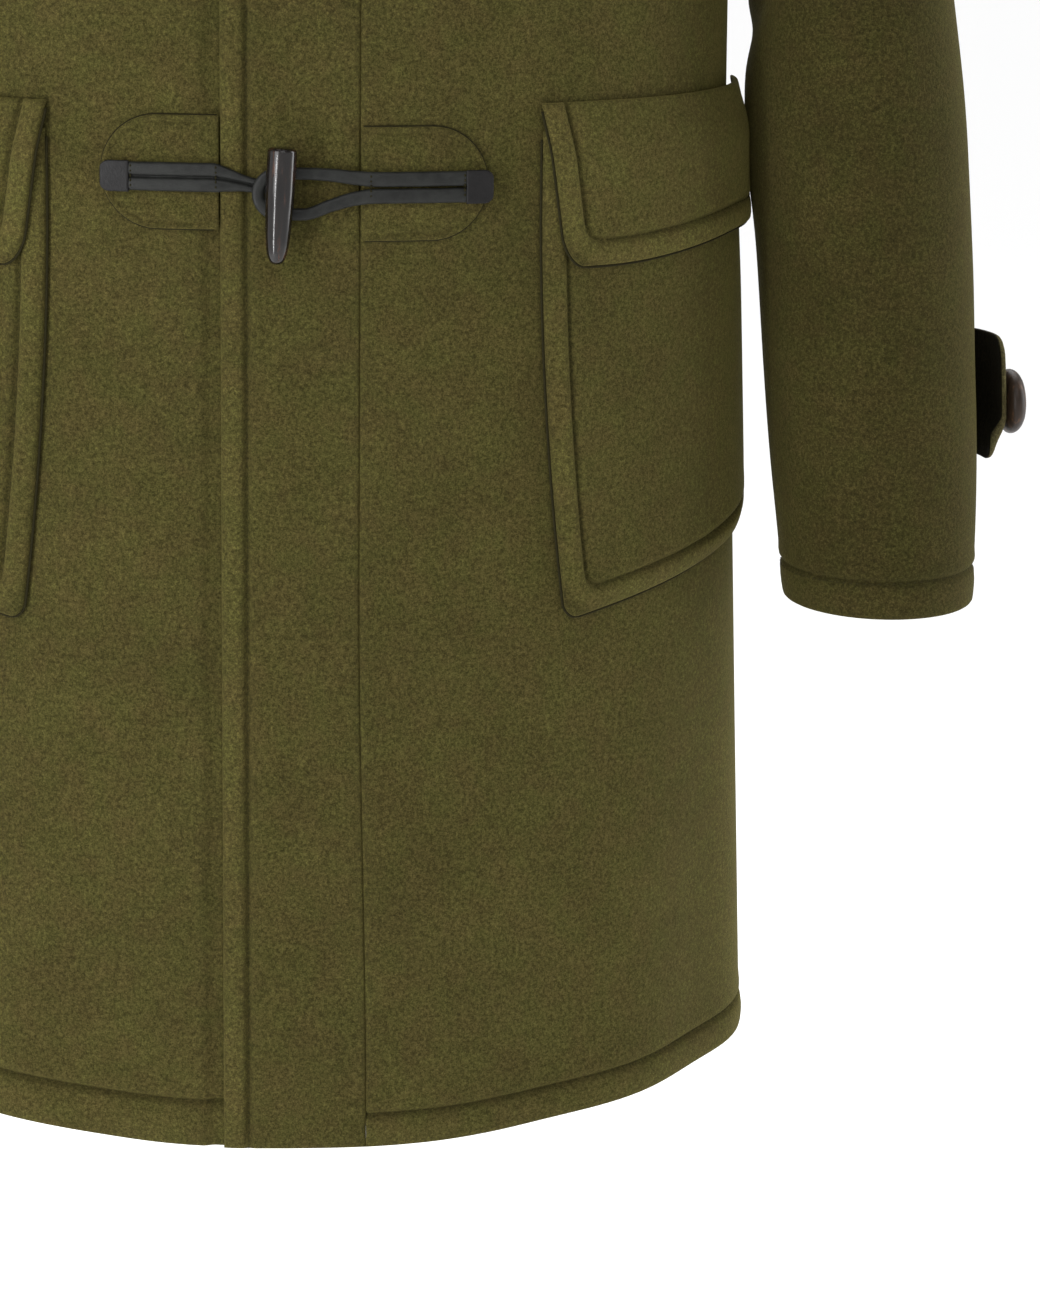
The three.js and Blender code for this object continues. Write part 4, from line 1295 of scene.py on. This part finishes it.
def tacks(name, place, middle, wide, out):
    z = middle + np.linspace(wide / 2 - TACK_INSET, TACK_INSET - wide / 2, TACK_POINTS)
    arcs = np.full(TACK_POINTS, place)
    row = (cloth_point(arcs, z, out), body_normal(angle_at(arcs, z), z))
    stitches(name, [row], SHADOW_CORD_AND_TACK_THREAD, pitch=2.4, length=2.2, radius=0.5)


# The dark leather end sewn over a strap
STRAP_END_CORNER = 4.5
STRAP_END_ROUND = 0.6
STRAP_END_THICK = 1.2


def strap_end(name, outer_end, inner_end, middle, wide, out):
    arcs = across(outer_end, inner_end, EDGE, 6)
    up = across(-1.0, 1.0, np.array(EDGE) / wide * 2, 8)
    dx = np.abs(arcs - outer_end)[:, None] + 0 * up
    dy = (1 - np.abs(up))[None] * wide / 2 + 0 * arcs[:, None]
    inset = rounded_in(STRAP_END_CORNER, STRAP_END_CORNER, dx)
    z = middle + up[None] * (wide / 2 - inset)
    fall = rolled(np.minimum(np.minimum(dx, dy), np.abs(arcs - inner_end)[:, None]), STRAP_END_ROUND)
    top = cloth_point(arcs[:, None] + 0 * up, z, out - fall)
    base = cloth_point(arcs[:, None] + 0 * up, z, out - STRAP_END_THICK + fall)
    points, faces = shell_mesh(top, base)
    placed(name, points, faces.tolist(), END_LEATHER)


def sew_strap(kind, name, level):
    outer_end, inner_end, wide, out = STRAP_SEWING[kind]["end"]
    strap_end(name + "_end", outer_end, inner_end, level, wide, out)
    for number, (place, wide, out) in enumerate(STRAP_SEWING[kind]["tacks"], 1):
        tacks(f"{name}_tack_{number}", place, level, wide, out)


# A strap's table read at many places, close together at both ends
STRAP_ENDS = [0, 0.3, 0.9]


def dense(source, count):
    places = source["across"]
    at = across(places[0], places[-1], STRAP_ENDS, count)
    turn = 1 if places[-1] > places[0] else -1
    ordered = {name: values[::turn] for name, values in source.items()}
    made = {name: column(ordered, "across", name, at) for name in source if name != "across"}
    made["across"] = at
    return made


# The places where a toggle strap drops to the toggle, and where the groove between its strands ends
STRAP_DROP_START = -42.0
STRAP_DROP_LENGTH = 30.0
STRAP_GROOVE = 1.7
GROOVE_END = -22.0
GROOVE_FADE = 8.0


def toggle_strap(name, middle):
    path = dense(TOGGLE_STRAP, 70)
    dropped = ease((path["across"] - STRAP_DROP_START) / STRAP_DROP_LENGTH)
    path["z"] = middle + TOGGLE_STRAP_RISE * (1 - dropped)
    path["heading"] = 0 * path["across"]
    strap(name, path, STRAP_GROOVE * (1 - ease((path["across"] - GROOVE_END) / GROOVE_FADE)))
    sew_strap("toggle_strap", name, middle + TOGGLE_STRAP_RISE)


def loop_strap(name, middle):
    rows = dense(LOOP_STRAP, 60)
    end = {field: values[-1] for field, values in rows.items()}
    radius = (end["upper"] - end["lower"]) / 2
    centre = (end["upper"] + end["lower"]) / 2
    bend = np.radians(np.arange(10, 180, 10.0))
    around = {
        "across": end["across"] - radius * np.sin(bend),
        "wide": 0 * bend + end["wide"],
        "out": 0 * bend + end["out"],
    }
    path = {field: np.concatenate([rows[field], bent, rows[field][::-1]]) for field, bent in around.items()}
    path["z"] = middle + np.concatenate([rows["upper"], centre + radius * np.cos(bend), rows["lower"][::-1]])
    path["heading"] = np.unwrap(np.arctan2(np.gradient(path["z"]), np.gradient(path["across"])))
    strap(name, path, np.zeros(len(path["z"])))
    sew_strap("loop_strap", name, middle)


# A solid turned round an axis, with as many sides as asked
def turned(name, along, radius, origin, axis, first, material, slot, sides=48):
    second = np.cross(axis, first)
    turns = np.arange(sides) * 2 * math.pi / sides
    ring = first * np.cos(turns)[:, None] + second * np.sin(turns)[:, None]
    points = origin + axis * along[:, None, None] + ring[None] * radius[:, None, None]
    rows = len(along)
    quads = quads_of(np.arange(rows * sides).reshape(rows, sides), True)
    return piece(name, points.reshape(-1, 3), quads, material)


def joined_ends(made):
    mesh = made.data
    shape = bmesh.new()
    shape.from_mesh(mesh)
    bmesh.ops.remove_doubles(shape, verts=shape.verts, dist=1e-6)
    shape.to_mesh(mesh)
    shape.free()
    mesh.shade_smooth()


def toggle(name, middle):
    angle = angle_at(TOGGLE_ACROSS, middle)
    out = body_normal(angle, middle)
    below, above = (cloth_point(TOGGLE_ACROSS, middle + away, 0.0) for away in (-20.0, 20.0))
    downward = below - above
    downward = downward - out * downward.dot(out)
    downward[0] = -TOGGLE_LEAN * np.linalg.norm(downward)
    downward = unit(downward)
    top = cloth_point(TOGGLE_ACROSS, middle, TOGGLE_OUT) - downward * TOGGLE_TOP_RISE
    first = unit(out - downward * out.dot(downward))
    fine = [np.linspace(a, b, 5)[:-1] for a, b in zip(HORN["along"][3:-1], HORN["along"][4:])]
    along = np.concatenate([HORN["along"][:3], *fine, HORN["along"][-1:]])
    straight = np.interp(along, HORN["along"], HORN["radius"])
    radius = np.where(along < HORN["along"][3], straight, column(HORN, "along", "radius", along))
    made = turned(name, along, radius, top, downward, first, HORN_DARK, "horn")
    joined_ends(made)


for number, middle in enumerate(TOGGLE_LEVELS, 1):
    patch(f"patch_left_{number}", 1, middle + PATCH_RISE[1])
    patch(f"patch_right_{number}", -1, middle + PATCH_RISE[-1])
    toggle_strap(f"toggle_strap_{number}", middle)
    loop_strap(f"loop_strap_{number}", middle)
    toggle(f"toggle_{number}", middle)


def sleeve_at_level(turn, z):
    turn, z = np.broadcast_arrays(np.asarray(turn, float), np.asarray(z, float))
    return bisected(lambda s: -sleeve_surface(turn, s)[..., 2], -z, 0.0, CUFF)


def sleeve_point(turn, z, out):
    s = sleeve_at_level(turn, z)
    return sleeve_surface(turn, s) + sleeve_normal(turn, s) * np.asarray(out)[..., None]


# The tab stands off the cuff by this share of its length, and its lower part droops
TAB_RISE_SHARE = 0.85
TAB_DROOP_START = -0.35
TAB_DROOP_REACH = 0.65


def cuff_tab(side, name):
    near = EDGE + [4.4, 5.3, TAB_STITCH, 6.7, 7.6, 9.0]
    along = across(0.0, TAB_LENGTH, near, 30)
    up = across(-1.0, 1.0, np.array(near) / TAB_HALF, 12)
    t = along / TAB_LENGTH
    inset = rounded_in(TAB_CORNER, TAB_CORNER, TAB_LENGTH - along)
    half = TAB_HALF - inset
    rise = up[None] * half[:, None]
    turn = np.radians(TAB_FIRST_DEGREES + (TAB_LAST_DEGREES - TAB_FIRST_DEGREES) * t)[:, None] + 0 * rise
    dx = (TAB_LENGTH - along)[:, None] + 0 * rise
    rim = np.minimum(rim_of(dx, TAB_HALF - np.abs(rise), TAB_CORNER), along[:, None])
    full = TAB_STAND - TAB_DROOP * ease((TAB_DROOP_START - up[None]) / TAB_DROOP_REACH)
    stand = TAB_FLOAT + (full - TAB_FLOAT) * ease(t / TAB_RISE_SHARE)[:, None]
    relief = sewn(rim, TAB_STITCH, deep=0.7, wide=0.9, puff=0.4)
    outer = sleeve_point(turn, TAB_LEVEL + rise, stand + CLOTH + relief - rolled(rim))
    inner = sleeve_point(turn, TAB_LEVEL + rise, stand + rolled_inside(rim))
    # Its inner faces are painted near black, as the shade in the hollow under the tab
    made = shell(name, outer, inner, TAB_PAINTED_LIGHT_WOOL, side, inside_shade=PAINTED_SHADE_WOOL)


def cuff_button(side, name):
    turn = np.radians(BUTTON_DEGREES)
    level = TAB_LEVEL - BUTTON_DROP
    base = sleeve_point(turn, level, 0.0)
    seat = sleeve_point(turn, level, TAB_STAND + CLOTH + BUTTON_GAP)
    axis = unit(seat - base)
    first = unit(np.array([0, 0, 1.0]) - axis * axis[2])
    place = [mirror(vector, side) for vector in (seat, axis, first)]
    made = turned(name, BUTTON["along"], BUTTON["radius"], *place, BUTTON_HORN, "button", 64)
    joined_ends(made)


for word, side in (("left", 1), ("right", -1)):
    cuff_tab(side, word + "_cuff_tab")
    cuff_button(side, word + "_cuff_button")


# The camera stands where the photograph was taken
CAMERA_AT = Vector((0.0, -2.158, -0.176))
CAMERA_YAW = math.radians(3.2587)
CAMERA_PITCH = math.radians(-14.3215)
CAMERA_ROLL = math.radians(0.8)
PHOTO_LONG_SIDE = 1300
FOCAL_PIXELS = 4080
SENSOR = 36.0

ahead = Vector((
    math.sin(CAMERA_YAW) * math.cos(CAMERA_PITCH),
    math.cos(CAMERA_YAW) * math.cos(CAMERA_PITCH),
    math.sin(CAMERA_PITCH),
))
level_right = Vector((math.cos(CAMERA_YAW), -math.sin(CAMERA_YAW), 0))
level_up = level_right.cross(ahead)
right = level_right * math.cos(CAMERA_ROLL) + level_up * math.sin(CAMERA_ROLL)
up = level_up * math.cos(CAMERA_ROLL) - level_right * math.sin(CAMERA_ROLL)
camera_data = bpy.data.cameras.new("camera")
camera_data.lens = FOCAL_PIXELS / PHOTO_LONG_SIDE * SENSOR
camera_data.sensor_width = SENSOR
camera_data.sensor_fit = "AUTO"
camera_data.clip_end = 100
camera = added("camera", camera_data)
camera.matrix_world = Matrix(
    [[right.x, up.x, -ahead.x, CAMERA_AT.x], [right.y, up.y, -ahead.y, CAMERA_AT.y],
     [right.z, up.z, -ahead.z, CAMERA_AT.z], [0, 0, 0, 1]]
)
bpy.context.scene.camera = camera


# A pale floor under the coat and soft studio light
FLOOR_LEVEL = -1.45
FLOOR_HALF = 30.0


def floor():
    mesh = bpy.data.meshes.new("floor")
    corners = [(-1, -1), (1, -1), (1, 1), (-1, 1)]
    mesh.from_pydata([(x * FLOOR_HALF, y * FLOOR_HALF, FLOOR_LEVEL) for x, y in corners], [], [(0, 1, 2, 3)])
    material, _, shader, _ = new_material("pale floor")
    shader.inputs["Base Color"].default_value = (0.9, 0.9, 0.9, 1)
    shader.inputs["Roughness"].default_value = 0.9
    mesh.materials.append(material)
    added("floor", mesh)


floor()

# The lights: place and target in metres, size in metres, and power in watts
AREA_LIGHTS = {
    "left light": ((-1.15, -1.35, 0.1), (0, -0.1, -0.6), (0.9, 1.6), 22),
    "strip light": ((-1.3, -1.72, -0.92), (0, -0.15, -0.45), (0.13, 0.9), 15),
    "right light": ((2.6, 0.25, 0.0), (0.1, 0, -0.6), (1.2, 2.4), 43),
    "front light": ((0.3, -2.5, 1.7), (0, 0, -0.6), (1.8, 1.2), 26),
    "back light": ((-2.2, 1.1, 0.2), (0, 0, -0.6), (0.6, 1.6), 75),
}
SKY_POWER = 2.8
SKY_ANGLE = math.radians(60)
SKY_LEAN = math.radians(-32)
SKY_GREYS = [(0.0, 0.97), (0.12, 0.87), (0.5, 0.28), (1.0, 0.2)]

for name, (place, target, size, power) in AREA_LIGHTS.items():
    light = bpy.data.lights.new(name, "AREA")
    light.shape = "RECTANGLE"
    light.size, light.size_y = size
    light.energy = power
    lamp = added(name, light)
    lamp.location = place
    lamp.rotation_euler = (Vector(target) - Vector(place)).to_track_quat("-Z", "Y").to_euler()
sky_light = bpy.data.lights.new("sky light", "SUN")
sky_light.energy = SKY_POWER
sky_light.angle = SKY_ANGLE
added("sky light", sky_light).rotation_euler = (SKY_LEAN, 0, 0)

# The world is pale at the horizon and darker above
world = bpy.data.worlds.new("studio")
world.use_nodes = True
sky_tree = world.node_tree
height = sky_tree.nodes.new("ShaderNodeSeparateXYZ")
sky_tree.links.new(sky_tree.nodes.new("ShaderNodeTexCoord").outputs["Generated"], height.inputs[0])
sky_color = ramp(sky_tree, height.outputs["Z"], greys(SKY_GREYS))
sky_tree.links.new(sky_color, sky_tree.nodes["Background"].inputs["Color"])
sky_tree.nodes["Background"].inputs["Strength"].default_value = 1.0
bpy.context.scene.world = world
bpy.context.scene.view_settings.view_transform = "Standard"
